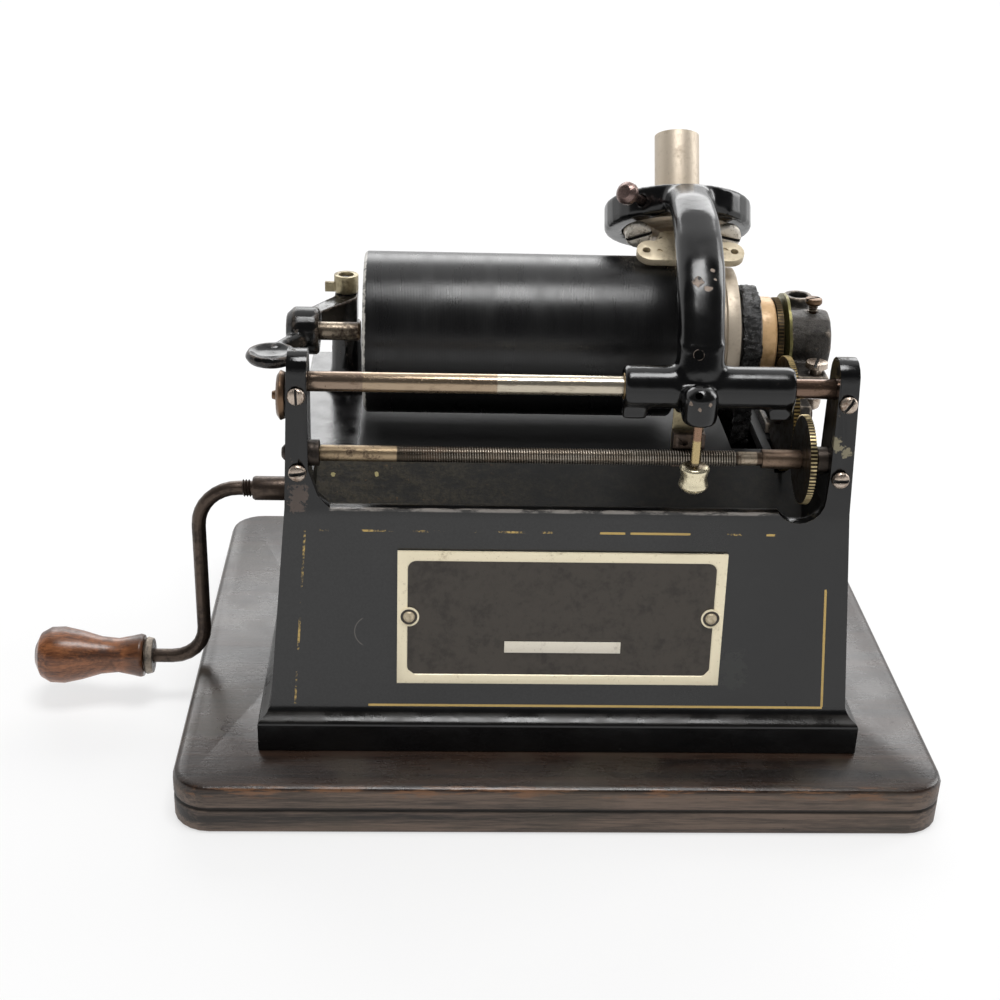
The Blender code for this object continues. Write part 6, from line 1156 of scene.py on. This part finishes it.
# The nameplate's rivets, in eyelets, and its bare strip
PLATE_FLOOR_RISE = 0.0010
PLATE_FRONT_RISE = 0.0013
RIVETS = {"left": (-0.0505, 0.0660), "right": (0.04785, 0.06625)}
RIVET_HEAD = ((0, 0.0007), (0.0005, 0.00078), (0.0009, 0.0010), (0.0014, 0.00085), (0.0018, 0.00045),
              (0.0019, 0.0001), (0.0019, -0.0002), (0, -0.0002))
EYELET = ((0, 0.00006), (0.0027, 0.00006), (0.00275, 0.0003), (0.0030, 0.0004), (0.0033, 0.0003),
          (0.0033, -0.0002), (0, -0.0002))
STRIP_MIDDLE = (-0.0003, 0.0554)
STRIP_SIZE = (0.0381, 0.0040, 0.0003)


def on_face(x, height, rise):
    """A point over the front face, at a height and that far out."""
    share = (height - FACE_LOW[1]) / (FACE_HIGH[1] - FACE_LOW[1])
    face_y = FACE_LOW[0] + share * (FACE_HIGH[0] - FACE_LOW[0])
    return Vector((x, face_y, height)) + FACE_OUT * rise


for side, (rivet_x, rivet_z) in RIVETS.items():
    seat = on_face(rivet_x, rivet_z, PLATE_FRONT_RISE)
    eyelet = turned_piece(f"plate_eyelet_{side}", seat, FACE_OUT, EYELET, "border", "root")
    eyelet.data.materials.append(FINISHES["panel"])
    for face in eyelet.data.polygons:
        if (face.center - seat).length < EYELET[2][0] and face.normal.dot(FACE_OUT) > FACING:
            face.material_index = 1
    turned_piece(f"plate_rivet_{side}", seat, FACE_OUT, RIVET_HEAD, "weight_nickel", "root")


def plate_strip():
    """The plate's bare pale strip: a sheet with a raised, rounded rim."""
    deselect()
    bpy.ops.mesh.primitive_plane_add(size=1)
    piece = bpy.context.object
    piece.name = "plate_strip"
    middle = on_face(*STRIP_MIDDLE, PLATE_FLOOR_RISE)
    shape = Matrix.Diagonal((*STRIP_SIZE[:2], 1, 1))
    piece.matrix_world = Matrix.Translation(middle) @ turned_to(FACE_OUT) @ shape
    pick(piece)
    bpy.ops.object.transform_apply()
    edit(piece, "FACE", lambda face: True)
    bpy.ops.mesh.extrude_region_move(TRANSFORM_OT_translate={"value": FACE_OUT * STRIP_SIZE[2]})
    bpy.ops.mesh.select_all(action="SELECT")
    bpy.ops.mesh.normals_make_consistent(inside=False)
    done_editing()
    apply_modifier(piece, "BEVEL", width=FINE_EDGE / 2, segments=2, limit_method="ANGLE", angle_limit=SHARP)
    finish_piece(piece, "strip", "root")


plate_strip()


# Stage, light and camera

FLOOR_HALF = 3.0
CAMERA_PLACE = (-0.0454, -0.5278, 0.3290)
CAMERA_RIGHT = (0.9989, -0.0355, 0.0311)
CAMERA_UP = (-0.0125, 0.4362, 0.8997)
LENS = 58.32
LAMPS = (
    # name, place, what it aims at, width, height, watts
    ("overhead", (0.05, -0.22, 1.5), (0, 0, 0.1), 0.62, 0.50, 13),
    ("back", (0.10, 1.9, 1.15), (0, 0, 0.1), 2.7, 0.9, 27),
    ("right", (1.3, 0.55, 0.75), (0, 0, 0.12), 0.5, 0.8, 6),
)
SKY_LIGHT = 0.42
FLOOR_GLOW = 0.62
FLOOR_GREY = (0.86, 0.86, 0.86)
DIM_ROOM = 0.08


def rays(*kinds):
    """1 for rays of any of these kinds."""
    path = new_node("LightPath")
    return most(*(path.outputs[f"Is {kind} Ray"] for kind in kinds))


def white_floor():
    """A pale floor that looks white, in mirrors and through glass too, and keeps a soft shadow."""
    bpy.ops.mesh.primitive_plane_add(size=FLOOR_HALF * 2, location=(0, 0, 0))
    floor = bpy.context.object
    floor.name = "floor"
    floor.data.materials.append(new_finish("floor_paper"))
    shader = tree.nodes["Principled BSDF"]
    feed(shader, Base_Color=(*FLOOR_GREY, 1), Roughness=0.9)
    glow = new_node("Emission").outputs["Emission"]
    share = both(rays("Camera", "Glossy", "Transmission"), FLOOR_GLOW)
    mix = new_node("MixShader", _0=share, _1=shader.outputs["BSDF"], _2=glow)
    feed(tree.nodes["Material Output"], Surface=mix.outputs["Shader"])


def sky():
    """Pale light from all round. Gloss reflects white walls, and a dim room high in front."""
    world = bpy.data.worlds.new("studio")
    open_tree(world)
    bpy.context.scene.world = world
    x, y, z = split(new_node("TexCoord").outputs["Generated"])
    front_high = both(ramp(y, 0.05, 0.40, 1, 0), ramp(z, 0.05, 0.35))
    mirrored = ramp(front_high, 0, 1, 1, DIM_ROOM)
    strength = ramp(rays("Glossy", "Transmission"), 0, 1, SKY_LIGHT, mirrored)
    feed(tree.nodes["Background"], Color=(1, 1, 1, 1), Strength=ramp(rays("Camera"), 0, 1, strength, 1))


def lamp(name, place_at, target, width, height, watts):
    """A softbox that faces its target."""
    light = bpy.data.lights.new(name, "AREA")
    light.shape = "RECTANGLE"
    light.size = width
    light.size_y = height
    light.energy = watts
    made = bpy.data.objects.new(name, light)
    bpy.context.scene.collection.objects.link(made)
    made.location = place_at
    made.rotation_euler = (Vector(target) - Vector(place_at)).to_track_quat("-Z", "Y").to_euler()


def camera():
    """The photograph's view."""
    lens = bpy.data.cameras.new("camera")
    lens.lens = LENS
    made = bpy.data.objects.new("camera", lens)
    bpy.context.scene.collection.objects.link(made)
    right, up = Vector(CAMERA_RIGHT), Vector(CAMERA_UP)
    turn = Matrix((right, up, right.cross(up))).transposed().to_4x4()
    made.matrix_world = Matrix.Translation(CAMERA_PLACE) @ turn
    bpy.context.scene.camera = made


white_floor()
sky()
for settings in LAMPS:
    lamp(*settings)
camera()
bpy.context.scene.view_settings.view_transform = "Standard"
